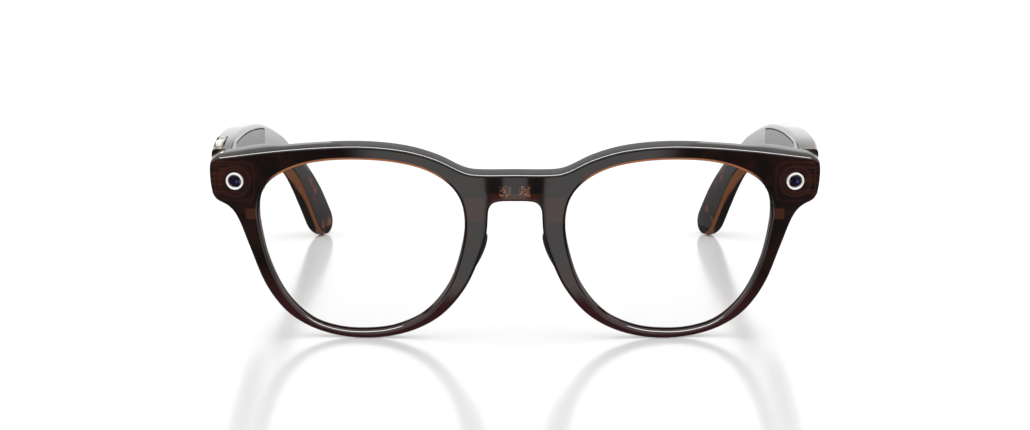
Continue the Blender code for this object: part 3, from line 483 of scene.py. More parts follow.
def lens_mesh(side):
    outline = opening_outline() if side > 0 else mirrored(opening_outline())
    edge = offset_loop(outline, LENS_OVERLAP)
    centre = Vector((side * LENS_CENTRE[0], LENS_CENTRE[1]))
    mid = (GROOVE_FRONT + GROOVE_BACK) / 2
    data = bmesh.new()
    borders = []
    for half in (-LENS_THICKNESS / 2, LENS_THICKNESS / 2):
        rows = []
        for ring in range(LENS_RINGS):
            share = 1 - ring / LENS_RINGS
            crown = LENS_CROWN * (1 - share ** 2)
            rows.append([data.verts.new(front_point(centre + (p - centre) * share,
                                                    mid + half - crown)) for p in edge])
        hub = data.verts.new(front_point(centre, mid + half - LENS_CROWN))
        for first, second in zip(rows, rows[1:]):
            join_rows(data, first, second)
        for i in range(len(edge)):
            data.faces.new((rows[-1][i], rows[-1][(i + 1) % len(edge)], hub))
        borders.append(rows[0])
    join_rows(data, borders[1], borders[0])
    return data


def brow_strip_mesh(inset, height, rear_near, rear_far, end_trim):
    """A strip that follows the brow, between two depths measured from the rear face."""
    half = [p for p in smooth_curve(TOP_EDGE, CURVE_STEPS) if p.x <= CHANNEL_END - end_trim]
    line = [Vector((-p.x, p.y)) for p in reversed(half[1:])] + half
    rings = []
    for i, p in enumerate(line):
        along = (line[min(i + 1, len(line) - 1)] - line[max(i - 1, 0)]).normalized()
        down = Vector((along.y, -along.x))
        high, low = p + down * inset, p + down * (inset + height)
        rings.append([front_point(high, rear_near, True), front_point(low, rear_near, True),
                      front_point(low, rear_far, True), front_point(high, rear_far, True)])
    return stack_mesh(rings)


def module_matrix(side):
    """The seat of the camera or the light: Y runs back through the front."""
    across, height = MODULE_AT
    seat = Matrix.Translation((side * across, across ** 2 / (2 * FACE_RADIUS), height))
    return FRONT_MATRIX @ seat @ Matrix.Rotation(side * math.atan(across / FACE_RADIUS), 4, 'Z')


def rear_seat_matrix(across):
    return FRONT_MATRIX @ Matrix.Translation((across, rear_depth(0, BRIDGE_ROW), BRIDGE_ROW))


def endpiece_matrix(side):
    across, height = MODULE_AT
    lean_z = height * math.cos(FRONT_LEAN) + BLOCK_DEPTH * math.sin(FRONT_LEAN) + FRONT_Z
    return Matrix.Translation((side * (across + GAP / 2), SHIFT_Y + JOINT_Y - GAP / 2, lean_z))


def build_front(looks):
    body = add_piece("front_frame_fine", front_frame_mesh(), looks["shell"])
    cutters = [add_piece("channel", brow_strip_mesh(CHANNEL_TOP_WALL, CHANNEL_HEIGHT, -PAST,
                                                    BROW_THICKNESS - CHANNEL_FLOOR, 0.0))]
    for side in (1, -1):
        seat = module_matrix(side)
        cutters += [
            add_prism("bore", circle(MODULE_BORE, TURN_STEPS), -PAST, BORE_END, 'Y', seat),
            add_prism("pocket", rounded_rectangle(*POCKET_HALF, POCKET_CORNER), POCKET_FLOOR,
                      POCKET_END, 'Y', seat),
            add_prism("recess", rounded_rectangle(*REAR_COVER_HALF, RECESS_CORNER),
                      -REAR_COVER_THICKNESS - GAP, PAST, 'Y', endpiece_matrix(side)),
            add_prism("contact_seat", circle(CONTACT_RADIUS + SEAT_SLACK, CONTACT_STEPS),
                      -CONTACT_THICKNESS - GAP, PAST, 'Y',
                      rear_seat_matrix(side * CONTACT_HALF_PITCH)),
        ]
    port_half = MICROPHONE_HALF + SEAT_SLACK
    cutters.append(add_prism("port", rounded_rectangle(port_half, port_half, PORT_CORNER),
                             -MICROPHONE_DEPTH - GAP, PAST, 'Y', rear_seat_matrix(0)))
    cut(body, cutters)
    stand_in(body, "front", "shell", "front_frame")
    strip = brow_strip_mesh(CHANNEL_TOP_WALL + GAP, CHANNEL_HEIGHT - 2 * GAP, 0.0,
                            COVER_THICKNESS, 1.0)
    stand_in(add_piece("brow_cover_fine", strip, looks["cover"]), "front", "cover", "brow_cover")
    for side, word in SIDES:
        stand_in(add_piece("lens_fine_" + word, lens_mesh(side), looks["lens"]), "front", "lens",
                 "lens_" + word)
        disc = add_prism("charge_contact_fine_" + word, circle(CONTACT_RADIUS, CONTACT_STEPS),
                         -CONTACT_THICKNESS, CONTACT_PROUD, 'Y',
                         rear_seat_matrix(side * CONTACT_HALF_PITCH), CONTACT_EDGE, looks["gold"])
        stand_in(disc, "front", "gold", "charge_contact_" + word)
        outline = rounded_rectangle(REAR_COVER_HALF[0] - GAP, REAR_COVER_HALF[1] - GAP,
                                    REAR_COVER_CORNER)
        plate = add_prism("endpiece_cover_fine_" + word, outline, -REAR_COVER_THICKNESS, 0.0, 'Y',
                          endpiece_matrix(side), REAR_COVER_EDGE, looks["cover"])
        stand_in(plate, "front", "cover", "endpiece_cover_" + word)
        pad = add_piece("nose_pad_fine_" + word, nose_pad_mesh(side), looks["shell"],
                        PAD_SHARP_ANGLE)
        stand_in(pad, "front", "shell", "nose_pad_" + word)


def nose_pad_mesh(side):
    """A pad on the rim's nasal flank: a drop shape that thickens to the rear and downward."""
    rings = []
    for height, near, far, reach in smooth_curve(PAD_STATIONS, PAD_STEPS[0]):
        seat_near = rear_depth(near, height) + GAP
        seat_far = rear_depth(far, height) + GAP
        corners = [(near + PAD_INSET, seat_near)]
        for share, aside, out in PAD_SECTION:
            seat = seat_far if share == 1 else seat_near
            corners.append((near + (far - near) * share + aside * reach, seat + out * reach))
        corners.append((far, seat_far))
        ring = smooth_curve(corners, PAD_STEPS[1])
        rings.append([FRONT_MATRIX @ Vector((side * p.x, p.y, height)) for p in ring])
    return stack_mesh(rings)


def build_module(side, looks):
    """Bezel and glass, which look alike for the camera and the light."""
    seat = module_matrix(side)
    word = "camera" if side > 0 else "led"
    bezel = add_piece(word + "_bezel_fine", place_mesh(lathe_mesh(BEZEL_PROFILE), seat),
                      looks["silver"])
    stand_in(bezel, "front", "silver", word + "_bezel")
    radius = BEZEL_INNER - WINDOW_GAP
    dome = [(AXIS_RADIUS, WINDOW_BACK), (radius, WINDOW_BACK), (radius, WINDOW_EDGE)]
    for step in range(1, DOME_STEPS):
        angle = math.pi / 2 * step / DOME_STEPS
        dome.append((radius * math.cos(angle), WINDOW_EDGE - WINDOW_DOME * math.sin(angle)))
    dome.append((AXIS_RADIUS, WINDOW_EDGE - WINDOW_DOME))
    glass = add_piece(word + "_window_fine", place_mesh(lathe_mesh(dome), seat), looks["optic"],
                      GLASS_SHARP_ANGLE)
    stand_in(glass, "front", "optic" if side > 0 else "diffuser", word + "_window")


# ======== temples

def temple_stations():
    rows = [Vector((*top, *bottom, *rest)) for top, bottom, *rest in STATIONS]
    stations = []
    for row in smooth_curve(rows, STATION_STEPS):
        stations.append((Vector((row[4], row[0], row[1])), Vector((row[5], row[2], row[3])),
                         row[6]))
    top, bottom, thickness = stations[-1]
    middle = (top + bottom) / 2
    along = (middle - (stations[-2][0] + stations[-2][1]) / 2).normalized()
    for step in range(1, TIP_STEPS + 1):
        angle = math.pi / 2 * step / (TIP_STEPS + TIP_END)
        centre = middle + along * TIP_RADIUS * math.sin(angle)
        half = (top - bottom) / 2 * math.cos(angle)
        stations.append((centre + half, centre - half,
                         thickness * (1 - TIP_THINNING * (1 - math.cos(angle)))))
    return stations


def station_frames():
    """Middle point, up direction, outward direction, half height and half thickness."""
    stations = temple_stations()
    middles = [(top + bottom) / 2 for top, bottom, _ in stations]
    frames = []
    for i, (top, bottom, thickness) in enumerate(stations):
        along = (middles[min(i + 1, len(middles) - 1)] - middles[max(i - 1, 0)]).normalized()
        if i == 0:
            along = Vector((0, 1, 0))
        up = (top - bottom).normalized()
        frames.append((middles[i], up, along.cross(up).normalized(), (top - bottom).length / 2,
                       thickness / 2))
    return frames


FRAMES = station_frames()


def temple_world(point, side):
    return Vector((side * point.x, point.y + SHIFT_Y, point.z))


def sample_frame(back):
    for first, second in zip(FRAMES, FRAMES[1:]):
        if first[0].y <= back <= second[0].y:
            share = (back - first[0].y) / (second[0].y - first[0].y)
            return (first[0].lerp(second[0], share), first[1].lerp(second[1], share).normalized(),
                    first[2].lerp(second[2], share).normalized(),
                    first[3] + (second[3] - first[3]) * share,
                    first[4] + (second[4] - first[4]) * share)
    return FRAMES[-1]


def temple_ring(row, loop, side):
    middle, up, outward, _, _ = row
    return [temple_world(middle + outward * p.x + up * p.y, side) for p in loop]


def temple_body_mesh(side):
    rings = []
    for row in FRAMES:
        radius = min(CORNER_RADIUS, row[4] * CORNER_SHARES[0], row[3] * CORNER_SHARES[1])
        rings.append(temple_ring(row, rounded_rectangle(row[4], row[3], radius, CORNER_STEPS),
                                 side))
    return stack_mesh(rings)


def layer_mesh(side, start, end, edge_inset, inner_from, inner_to=None, from_outer=None):
    """A plate that follows the temple, between depths measured from its inner face."""
    rows = [sample_frame(start)]
    rows += [row for row in FRAMES if start + STATION_CLEAR < row[0].y < end - STATION_CLEAR]
    rows.append(sample_frame(end))
    rings = []
    for row in rows:
        half_height, half_thickness = row[3] - edge_inset, row[4]
        near = -half_thickness + inner_from
        far = half_thickness - from_outer if inner_to is None else -half_thickness + inner_to
        loop = [Vector((far, half_height)), Vector((near, half_height)),
                Vector((near, -half_height)), Vector((far, -half_height))]
        rings.append(temple_ring(row, loop, side))
    return stack_mesh(rings)


def inside_matrix(side, back, up, depth):
    """A seat in a temple: back from the front, above its middle line, out from its inner face."""
    middle, up_axis, outward, _, half_thickness = sample_frame(back)
    point = middle + up_axis * up + outward * (depth - half_thickness)
    along = sample_frame(back + PITCH_REACH)[0] - sample_frame(back - PITCH_REACH)[0]
    pitch = math.atan2(along.z, along.y)
    yaw = -math.atan2(along.x, along.y) * side
    return (Matrix.Translation(temple_world(point, side)) @ Matrix.Rotation(yaw, 4, 'Z')
            @ Matrix.Rotation(pitch, 4, 'X'))


def build_temple(side, word, looks):
    body = word + "_temple"
    shell = add_piece("temple_shell_fine_" + word, temple_body_mesh(side), looks["shell"])
    start, end = HOLLOW
    top = sample_frame(VENT_BACK)
    vent_seat = inside_matrix(side, VENT_BACK, top[3], top[4] + VENT_OFFSET)
    half_width, half_length = VENT_HALF
    cutters = [
        add_piece("recess", layer_mesh(side, start, end, RIM_WALL, -PAST, COVER_PLATE + GAP)),
        add_piece("hollow", layer_mesh(side, start + LEDGE, end - LEDGE, RIM_WALL + LEDGE,
                                       HOLLOW_START, from_outer=WALL)),
        add_prism("vent", rounded_rectangle(half_width, half_length, VENT_CORNER), -VENT_DEPTH,
                  PAST, 'Z', vent_seat),
    ]
    if side < 0:
        button_top = sample_frame(BUTTON_BACK)
        seat = inside_matrix(side, BUTTON_BACK, button_top[3], button_top[4] + BUTTON_OFFSET)
        floor = BUTTON_PROUD - BUTTON_DEPTH
        slot = rounded_rectangle(BUTTON_WIDTH / 2 + GAP, BUTTON_LENGTH / 2 + GAP,
                                 BUTTON_WIDTH / 2 + SLOT_SLACK, BUTTON_STEPS)
        cutters.append(add_prism("slot", slot, floor - SWITCH_GAP - SWITCH_POCKET, PAST, 'Z',
                                 seat))
        build_button(seat, looks)
    cut(shell, cutters)
    stand_in(shell, body, "shell", "temple_shell_" + word)
    cover = add_piece("temple_cover_fine_" + word,
                      layer_mesh(side, start + GAP, end - GAP, RIM_WALL + GAP, 0.0, COVER_PLATE),
                      looks["cover"])
    if side > 0:
        slot = rounded_rectangle(SLIDER_SIZE[0] / 2 + SLIDER_TRAVEL / 2 + GAP,
                                 SLIDER_SIZE[1] / 2 + GAP, SLIDER_SLOT_CORNER)
        seat = inside_matrix(side, SLIDER_BACK, SLIDER_UP, COVER_PLATE / 2)
        cut(cover, [add_prism("slot", slot, -PAST, PAST, 'X', seat)])
    stand_in(cover, body, "cover", "temple_cover_" + word)
    outline = rounded_rectangle(half_width - SEAT_SLACK, half_length - SEAT_SLACK, GRILLE_CORNER)
    grille = add_prism("speaker_vent_fine_" + word, outline, -GRILLE_BACK, -GRILLE_FRONT, 'Z',
                       vent_seat, 0.0, looks["mesh"])
    stand_in(grille, body, "mesh", "speaker_vent_" + word)


def build_button(seat, looks):
    """The capture button: two pads at its ends and a shallow saddle between them."""
    half_length, half_width = BUTTON_LENGTH / 2, BUTTON_WIDTH / 2
    loop = rounded_rectangle(half_width, half_length, half_width - BUTTON_SLACK, BUTTON_STEPS)
    data = prism_mesh(loop, BUTTON_PROUD - BUTTON_DEPTH, BUTTON_PROUD, 'Z', BUTTON_EDGE)
    for row in range(-SADDLE_CUTS, SADDLE_CUTS + 1):
        slice_mesh(data, (0, row * SADDLE_SPACING, 0), (0, 1, 0))
    for vert in data.verts:
        if vert.co.z > 0:
            inside = half_length - SADDLE_END - abs(vert.co.y)
            vert.co.z -= SADDLE_DEPTH * smoothstep(inside, 0.0, SADDLE_SLOPE)
    stand_in(add_piece("capture_button_fine", place_mesh(data, seat), looks["button"]),
             "capture_button", "silver", "capture_button")


# ======== materials

class Nodes:
    """Short ways to make the nodes of one tree, steered by a position or a direction."""

    def __init__(self, tree, source):
        self.tree = tree
        self.coords = tree.nodes.new("ShaderNodeTexCoord")
        split = tree.nodes.new("ShaderNodeSeparateXYZ")
        self.link(self.coords.outputs[source], split.inputs[0])
        self.x, self.y, self.z = split.outputs

    def link(self, source, target):
        if isinstance(source, bpy.types.NodeSocket):
            self.tree.links.new(source, target)
        else:
            target.default_value = source

    def math(self, operation, first, second=0.0):
        node = self.tree.nodes.new("ShaderNodeMath")
        node.operation = operation
        self.link(first, node.inputs[0])
        self.link(second, node.inputs[1])
        return node.outputs[0]

    def step(self, value, low, high):
        """0 below low, 1 above high, and smooth between them."""
        node = self.tree.nodes.new("ShaderNodeMapRange")
        node.interpolation_type = 'SMOOTHSTEP'
        reverse = low > high
        self.link(value, node.inputs["Value"])
        node.inputs["From Min"].default_value = min(low, high)
        node.inputs["From Max"].default_value = max(low, high)
        node.inputs["To Min"].default_value = 1.0 if reverse else 0.0
        node.inputs["To Max"].default_value = 0.0 if reverse else 1.0
        return node.outputs["Result"]

    def window(self, value, low, high, soft):
        """1 between low and high, with soft edges."""
        return self.math('MULTIPLY', self.step(value, low - soft, low),
                         self.step(value, high + soft, high))

    def times(self, *factors):
        product = factors[0]
        for factor in factors[1:]:
            product = self.math('MULTIPLY', product, factor)
        return product


class Look(Nodes):
    """A material on the Principled shader, placed by the object's own coordinates."""

    def __init__(self, name, **settings):
        self.material = bpy.data.materials.new(name)
        self.material.use_nodes = True
        super().__init__(self.material.node_tree, "Object")
        self.across = self.math('ABSOLUTE', self.x)
        self.shader = self.tree.nodes["Principled BSDF"]
        for key, value in settings.items():
            self.shader.inputs[key.replace("_", " ")].default_value = value

    def away_from_modules(self, power=2.0):
        """How far out from the axis of the camera or of the light: level lines are circles for
        a power of 2, and rounded squares for a higher one."""
        middle = module_matrix(1) @ Vector((0, 0, 0)) * MM
        total = 0.0
        for value, start in ((self.across, middle.x), (self.z, middle.z)):
            away = self.math('ABSOLUTE', self.math('SUBTRACT', value, start))
            total = self.math('ADD', self.math('POWER', away, power), total)
        return self.math('POWER', total, 1 / power)

    def distance(self, point):
        """How far it is to a point that is given in millimetres."""
        node = self.tree.nodes.new("ShaderNodeVectorMath")
        node.operation = 'DISTANCE'
        self.link(self.coords.outputs["Object"], node.inputs[0])
        node.inputs[1].default_value = point * MM
        return node.outputs["Value"]

    def noise(self, size, detail=3.0, stretch=(1, 1, 1)):
        """Noise with features of this size in metres, drawn out by the stretch."""
        mapping = self.tree.nodes.new("ShaderNodeMapping")
        mapping.inputs["Scale"].default_value = [1 / (size * s) for s in stretch]
        self.link(self.coords.outputs["Object"], mapping.inputs["Vector"])
        node = self.tree.nodes.new("ShaderNodeTexNoise")
        node.inputs["Scale"].default_value = 1.0
        node.inputs["Detail"].default_value = detail
        self.link(mapping.outputs["Vector"], node.inputs["Vector"])
        return node.outputs["Fac"]

    def mix(self, share, first, second):
        node = self.tree.nodes.new("ShaderNodeMix")
        node.data_type = 'RGBA'
        self.link(share, node.inputs["Factor"])
        for source, socket in ((first, node.inputs["A"]), (second, node.inputs["B"])):
            self.link(source if isinstance(source, bpy.types.NodeSocket) else (*source, 1.0),
                      socket)
        return node.outputs["Result"]

    def colour(self, source):
        self.link(source, self.shader.inputs["Base Color"])

    def roughness(self, noise, low, high):
        node = self.tree.nodes.new("ShaderNodeMapRange")
        self.link(noise, node.inputs["Value"])
        node.inputs["To Min"].default_value = low
        node.inputs["To Max"].default_value = high
        self.link(node.outputs["Result"], self.shader.inputs["Roughness"])

    def bump(self, height, strength, distance):
        node = self.tree.nodes.new("ShaderNodeBump")
        node.inputs["Strength"].default_value = strength
        node.inputs["Distance"].default_value = distance
        self.link(height, node.inputs["Height"])
        self.link(node.outputs["Normal"], self.shader.inputs["Normal"])


BLACK_BROWN = (0.0075, 0.0050, 0.0046)
RED_BROWN = (0.042, 0.0125, 0.0085)
PURPLE_BROWN = (0.030, 0.0095, 0.0098)
AMBER = (0.36, 0.135, 0.060)
TAN = (0.055, 0.020, 0.012)
EMBER = (0.16, 0.035, 0.012)

# Where the shell changes colour, in metres. Each pair is the start and end of a step or window.
FRONT_ONLY = (-0.060, -0.064)
LOW_RIM = (0.019, 0.007)
CORNER_ACROSS, CORNER_UP, CORNER_EDGE = (0.0625, 0.0665), (0.0345, 0.0365), (0.0690, 0.0705)
MODULE_RINGS = ((2.0, 0.00375, 0.35), (5.0, 0.0048, 0.25))  # power, reach, strength
RING_HALF, RING_SOFT, MODULE_GLOW = 0.0001, 0.0002, (0.0046, 0.0024)
PATCH_ACROSS, PATCH_UP, PATCH_SOFT = (0.0622, 0.0645), (0.0296, 0.0320), 0.0002
BRIDGE_ACROSS, BRIDGE_UP, BRIDGE_SOFT = (0.0068, 0.0050), (0.0338, 0.0362), 0.0006
NASAL_ACROSS, NASAL_UP, NASAL_SOFT = (0.0078, 0.0118), (0.0300, 0.0352), (0.0010, 0.0008)
CONTACT_ACROSS, CONTACT_UP, CONTACT_SOFT = (0.0012, 0.0035), (0.0360, 0.0383), 0.0003
BROW_ACROSS, BROW_SOFT, BROW_UP = (0.0145, 0.0600), 0.003, (0.0385, 0.0415)
TEMPLE_ONLY, TIP_ONLY = (0.010, 0.040), (0.058, 0.072)
OPTIC_RING, OPTIC_RING_SOFT = (0.00055, 0.0010), 0.0002
GLINT_AT, GLINT_REACH = (0.55, 0, -0.1), (0.0006, 0.0002)  # in the seat's millimetres, and metres
BUTTON_MIDDLE, BUTTON_SOFT = 0.0042, 0.0005
MESH_SCALE, MESH_HOLE = 3200.0, (0.28, 0.36)


def shell_look():
    """Deep brown translucent plastic: darker over the electronics, with painted warm glows where
    light gets through at the endpieces, the lower rims and the inner edge of the brow, and on the
    inner sides and tips of the temples."""
    look = Look("deep_brown_plastic", IOR=1.5, Coat_Weight=0.0)
    patches = look.step(look.noise(0.006, 2.0), 0.45, 0.62)
    colour = look.mix(look.times(patches, 0.2), BLACK_BROWN, RED_BROWN)
    low = look.step(look.z, *LOW_RIM)
    ahead = look.step(look.y, *FRONT_ONLY)
    colour = look.mix(look.times(low, ahead, 0.9), colour, PURPLE_BROWN)
    grain = look.step(look.noise(0.0012, 4.0, (6, 6, 0.6)), 0.40, 0.66)
    corner = look.times(look.step(look.across, *CORNER_ACROSS), look.step(look.z, *CORNER_UP),
                        ahead)
    edge = look.step(look.across, *CORNER_EDGE)
    streaks = look.times(grain, look.math('ADD', look.times(edge, 0.45), 0.45))
    colour = look.mix(look.times(corner, streaks), colour, RED_BROWN)
    for power, reach, strength in MODULE_RINGS:
        ring = look.window(look.away_from_modules(power), reach - RING_HALF, reach + RING_HALF,
                           RING_SOFT)
        colour = look.mix(look.times(ring, strength), colour, TAN)
    glow = look.times(look.step(look.away_from_modules(), *MODULE_GLOW), ahead, 0.35)
    colour = look.mix(glow, colour, RED_BROWN)
    patch = look.times(look.window(look.across, *PATCH_ACROSS, PATCH_SOFT),
                       look.window(look.z, *PATCH_UP, PATCH_SOFT), ahead, 0.75)
    colour = look.mix(patch, colour, TAN)
    bridge = look.times(look.step(look.across, *BRIDGE_ACROSS),
                        look.window(look.z, *BRIDGE_UP, BRIDGE_SOFT), ahead)
    colour = look.mix(look.times(bridge, 0.7), colour, RED_BROWN)
    flank = look.times(look.window(look.across, *NASAL_ACROSS, NASAL_SOFT[0]),
                       look.window(look.z, *NASAL_UP, NASAL_SOFT[1]), ahead)
    colour = look.mix(look.times(flank, 0.55), colour, RED_BROWN)
    traces = look.step(look.noise(0.00045, 3.0, (1.6, 4.0, 1.0)), 0.48, 0.60)
    contacts = look.times(look.window(look.across, *CONTACT_ACROSS, CONTACT_SOFT),
                          look.window(look.z, *CONTACT_UP, CONTACT_SOFT), ahead, traces)
    colour = look.mix(look.times(contacts, 0.55), colour, AMBER)
    normal = look.tree.nodes.new("ShaderNodeSeparateXYZ")
    look.link(look.coords.outputs["Normal"], normal.inputs[0])
    # painted glow: amber on the brow's down-facing inner edge, picked by the surface direction
    under = look.times(look.window(normal.outputs[2], -0.86, -0.34, 0.09),
                       look.step(look.z, *BROW_UP), ahead,
                       look.window(look.across, *BROW_ACROSS, BROW_SOFT))
    colour = look.mix(look.times(under, 0.85), colour, AMBER)
    behind = look.step(look.y, *TEMPLE_ONLY)
    inward = look.times(look.math('SIGN', look.x), normal.outputs[0], -1.0)
    # painted glow: an amber strip on the temples' undersides and lower inner corners, picked by
    # the surface direction
    strip = look.times(look.window(inward, -0.05, 0.70, 0.08),
                       look.step(normal.outputs[2], 0.15, -0.05), behind)
    colour = look.mix(look.times(strip, 0.38), colour, AMBER)
    # painted glow: amber on the temples' upper inner edges, picked by the surface direction
    rim = look.times(look.window(inward, 0.10, 0.45, 0.08),
                     look.step(normal.outputs[2], 0.30, 0.60), behind)
    colour = look.mix(look.times(rim, 0.25), colour, AMBER)
    # painted glow: ember flecks from a noise on the tips, shown only on their inward-facing sides
    flecks_and_glow = look.times(look.step(look.noise(0.0022, 3.0, (1.0, 2.2, 2.2)), 0.55, 0.66),
                        look.step(look.y, *TIP_ONLY), look.step(inward, 0.5, 0.8))
    colour = look.mix(look.times(flecks_and_glow, 0.8), colour, EMBER)
    look.colour(colour)
    look.roughness(look.noise(0.004, 2.0), 0.03, 0.065)
    return look.material


def plain_look(name, colour, tint, size, rough, metallic=0.0, bump=0.0, stretch=(1, 1, 1)):
    """A finish with a fine variation of colour and gloss."""
    look = Look(name, Metallic=metallic)
    noise = look.noise(size, 4.0, stretch)
    look.colour(look.mix(noise, colour, tint))
    look.roughness(noise, rough[0], rough[1])
    if bump:
        look.bump(noise, bump, size * 0.1)
    return look.material


def lens_look():
    look = Look("clear_lens", Alpha=0.025, IOR=1.5)
    noise = look.noise(0.02, 1.0)
    look.colour(look.mix(noise, (0.025, 0.028, 0.030), (0.035, 0.035, 0.034)))
    look.roughness(noise, 0.0, 0.02)
    return look.material


def optic_look(side):
    """Coated glass over a dark lens: a black rim, a violet ring and a painted blue glint."""
    look = Look("coated_optic", IOR=1.6, Coat_Weight=1.0, Coat_Roughness=0.02)
    seat = module_matrix(side)
    ring = look.window(look.distance(seat @ Vector((0, 0, 0))), *OPTIC_RING, OPTIC_RING_SOFT)
    colour = look.mix(ring, (0.003, 0.0022, 0.005), (0.010, 0.004, 0.016))
    # painted glint: a blue highlight painted into the glass colour near one spot
    glint = look.step(look.distance(seat @ Vector(GLINT_AT)), *GLINT_REACH)
    colour = look.mix(look.times(glint, 0.8), colour, (0.03, 0.05, 0.16))
    look.colour(colour)
    look.roughness(look.noise(0.001), 0.02, 0.06)
    return look.material


def button_look():
    """Brushed metal with painted reflections: pale gold ends and a grey-green middle, finely
    brushed along its length.
    """
    look = Look("button_metal", Metallic=0.9)
    centre_y = (BUTTON_BACK + SHIFT_Y) * MM
    # painted reflections: a darker grey-green band in the middle, and pale gold ends
    middle = look.window(look.y, centre_y - BUTTON_MIDDLE, centre_y + BUTTON_MIDDLE, BUTTON_SOFT)
    grain = look.noise(0.0004, 3.0, (1, 8, 1))
    ends = look.mix(grain, (0.86, 0.80, 0.66), (0.93, 0.90, 0.80))
    look.colour(look.mix(middle, ends, (0.40, 0.41, 0.36)))
    look.roughness(grain, 0.2, 0.34)
    return look.material


def mesh_look():
    """A dark grille of fine round holes."""
    look = Look("speaker_mesh", Specular_IOR_Level=0.1)
    holes = look.tree.nodes.new("ShaderNodeTexVoronoi")
    holes.inputs["Scale"].default_value = MESH_SCALE
    holes.inputs["Randomness"].default_value = 0.0
    look.link(look.coords.outputs["Object"], holes.inputs["Vector"])
    rim = look.step(holes.outputs["Distance"], *MESH_HOLE)
    look.colour(look.mix(rim, (0.003, 0.003, 0.003), (0.07, 0.07, 0.075)))
    look.roughness(rim, 0.8, 0.4)
    look.bump(rim, 0.6, 0.00005)
    return look.material


def make_looks():
    return {
        "shell": shell_look(),
        "cover": plain_look("cover_plastic", (0.010, 0.0068, 0.0062), (0.020, 0.011, 0.009), 0.003,
                            (0.10, 0.18), bump=0.05),
        "lens": lens_look(),
        "silver": plain_look("bezel_silver", (0.80, 0.78, 0.74), (0.90, 0.88, 0.84), 0.0006,
                             (0.25, 0.4), 0.15),
        "button": button_look(),
        "gold": plain_look("contact_gold", (0.80, 0.58, 0.26), (0.90, 0.70, 0.40), 0.0005,
                           (0.16, 0.3), 1.0),
        "steel": plain_look("hinge_steel", (0.36, 0.35, 0.34), (0.56, 0.55, 0.53), 0.0005,
                            (0.22, 0.4), 1.0, 0.1, (1, 1, 8)),
        "optic": optic_look(1),
        "light": optic_look(-1),
        "black": plain_look("black_mould", (0.010, 0.010, 0.011), (0.022, 0.022, 0.023), 0.0008,
                            (0.4, 0.6), bump=0.2),
        "board": plain_look("board_green", (0.006, 0.06, 0.034), (0.014, 0.12, 0.07), 0.0008,
                            (0.3, 0.5), bump=0.1),
        "flex": plain_look("flex_film", (0.48, 0.17, 0.035), (0.62, 0.26, 0.07), 0.001,
                           (0.25, 0.4)),
        "foil": plain_look("cell_foil", (0.48, 0.48, 0.49), (0.66, 0.66, 0.67), 0.002,
                           (0.3, 0.45), 1.0, 0.2),
        "mesh": mesh_look(),
        "diffuser": plain_look("light_guide", (0.66, 0.66, 0.64), (0.82, 0.82, 0.80), 0.001,
                               (0.3, 0.5)),
    }


def dress_cad_nodes(looks):
    """Every CAD node that stays visible gets the finish of its slot."""
    for entry in frame["record"]["subparts"]:
        node = frame["nodes"][entry["node"]]
        node.data.materials.clear()
        node.data.materials.append(looks[entry["material_slot"]])


# ======== studio

def emission_material(name, strength, sides=None, bottom=None):
    """An even glow, or one that fades out towards the sides and the bottom."""
    look = Look(name)
    look.colour((0, 0, 0, 1))
    look.shader.inputs["Emission Color"].default_value = (1, 1, 1, 1)
    if sides:
        level = look.times(look.step(look.across, sides[1], sides[0]),
                           look.step(look.z, bottom[0], bottom[1]), strength)
        look.link(level, look.shader.inputs["Emission Strength"])
    else:
        look.shader.inputs["Emission Strength"].default_value = strength
    return look.material


def sheet(name, corners, material):
    """A flat sheet of the studio."""
    mesh = bpy.data.meshes.new(name)
    mesh.from_pydata(corners, [], [list(range(len(corners)))])
    mesh.materials.append(material)
    obj = add_object(name, mesh)
    return obj


def card(name, corners, material):
    """A flat card that only shows in reflections."""
    obj = sheet(name, corners, material)
    obj.visible_camera = False
    obj.visible_diffuse = False
    obj.visible_shadow = False
    obj.visible_transmission = False


def build_floor():
    half = FLOOR_HALF
    look = Look("floor_white", IOR=1.5)
    noise = look.noise(0.5, 2.0)
    look.colour(look.mix(noise, (0.93, 0.93, 0.93), (0.95, 0.95, 0.95)))
    look.roughness(noise, 0.13, 0.16)
    corners = [(-half, -half, 0), (half, -half, 0), (half, half, 0), (-half, half, 0)]
    sheet("floor", corners, look.material).visible_glossy = False


def build_world():
    """White all round, but for darker parts that only reflections look into: ahead and below,
    for the front, far below and to the rear sides, for the tips, and high behind, for the
    brow's top."""
    world = bpy.data.worlds.new("studio")
    bpy.context.scene.world = world
    world.use_nodes = True
    nodes = Nodes(world.node_tree, "Generated")
    x, y, z = nodes.x, nodes.y, nodes.z
    pit = nodes.times(nodes.step(y, *PIT_AHEAD), nodes.step(z, *PIT_DOWN))
    under = nodes.times(nodes.step(z, *UNDER_DOWN), UNDER_SHADE)
    hood = nodes.times(nodes.step(y, *HOOD_BACK), nodes.step(z, *HOOD_UP), HOOD_SHADE)
    flank = nodes.times(nodes.step(nodes.times(x, x), *FLANK_ASIDE), nodes.step(y, *FLANK_BACK),
                        nodes.step(z, *FLANK_DOWN), FLANK_SHADE)
    shade = pit
    for other in (under, hood, flank):
        shade = nodes.math('MAXIMUM', shade, other)
    light = nodes.math('SUBTRACT', 1.0,
                       nodes.times(nodes.step(shade, 0.0, 1.0), 1 - WORLD_DARKEST))
    background = world.node_tree.nodes["Background"]
    nodes.link(light, background.inputs["Color"])
    background.inputs["Strength"].default_value = WORLD_STRENGTH


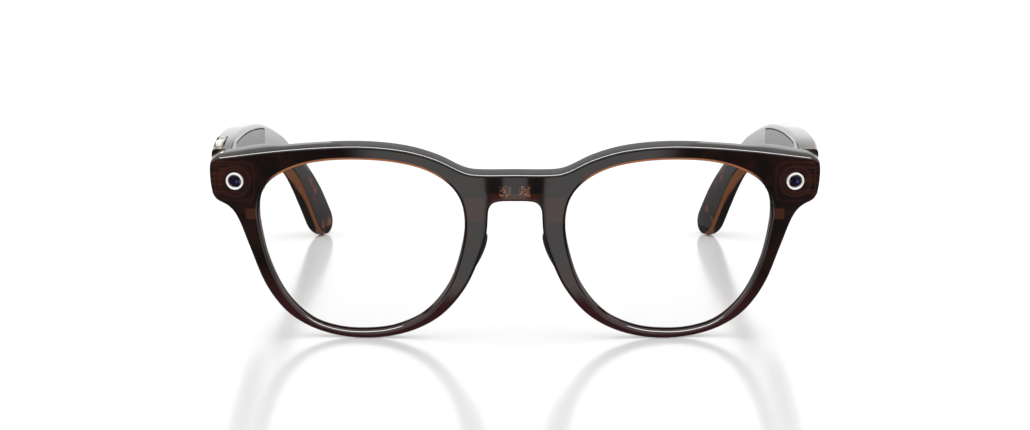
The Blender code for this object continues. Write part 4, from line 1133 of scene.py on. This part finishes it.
def build_softbox():
    """A wide light overhead that only shows as highlights."""
    light = bpy.data.lights.new("top_softbox", 'AREA')
    light.shape = 'RECTANGLE'
    light.size, light.size_y = SOFTBOX_SIZE
    light.energy = SOFTBOX_POWER
    obj = add_object("top_softbox", light)
    obj.location = SOFTBOX_AT
    aim = Vector(SOFTBOX_AIM) - Vector(SOFTBOX_AT)
    obj.rotation_euler = aim.to_track_quat('-Z', 'Y').to_euler()
    obj.visible_diffuse = False
    obj.visible_camera = False


def build_cards():
    glow = emission_material("card_glow", SIDE_GLOW, SIDE_FADE, SIDE_FOOT)
    inner_low, inner_high = SIDE_INNER
    for side, word in SIDES:
        card("side_card_" + word,
             [(side * inner_high, CARD_Y, CARD_HIGH), (side * SIDE_OUTER, CARD_Y, CARD_HIGH),
              (side * SIDE_OUTER, CARD_Y, CARD_LOW), (side * inner_low, CARD_Y, CARD_LOW)], glow)
    low, high = MIDDLE_HALF
    card("middle_card", [(-high, CARD_Y, CARD_HIGH), (high, CARD_Y, CARD_HIGH),
                         (low, CARD_Y, CARD_LOW), (-low, CARD_Y, CARD_LOW)],
         emission_material("middle_glow", MIDDLE_GLOW))
    half = BROW_CARD_HALF
    bottom, top = BROW_CARD_UP
    card("brow_card", [(-half, BROW_CARD_Y, top), (half, BROW_CARD_Y, top),
                       (half, BROW_CARD_Y, bottom), (-half, BROW_CARD_Y, bottom)],
         emission_material("brow_glow", BROW_GLOW))


def build_camera():
    camera_data = bpy.data.cameras.new("camera")
    camera_data.lens = CAMERA_LENS
    camera_data.sensor_width = CAMERA_SENSOR
    camera_data.clip_start, camera_data.clip_end = CAMERA_CLIP
    camera = add_object("camera", camera_data)
    camera.location = CAMERA_AT
    camera.rotation_euler = (math.pi / 2 - CAMERA_PITCH, 0, 0)
    bpy.context.scene.camera = camera


def main():
    looks = make_looks()
    dress_cad_nodes(looks)
    build_front(looks)
    for side, word in SIDES:
        build_module(side, {**looks, "optic": looks["optic" if side > 0 else "light"]})
        build_temple(side, word, looks)
    build_floor()
    build_world()
    build_cards()
    build_softbox()
    build_camera()
    bpy.context.scene.view_settings.view_transform = 'Standard'


main()
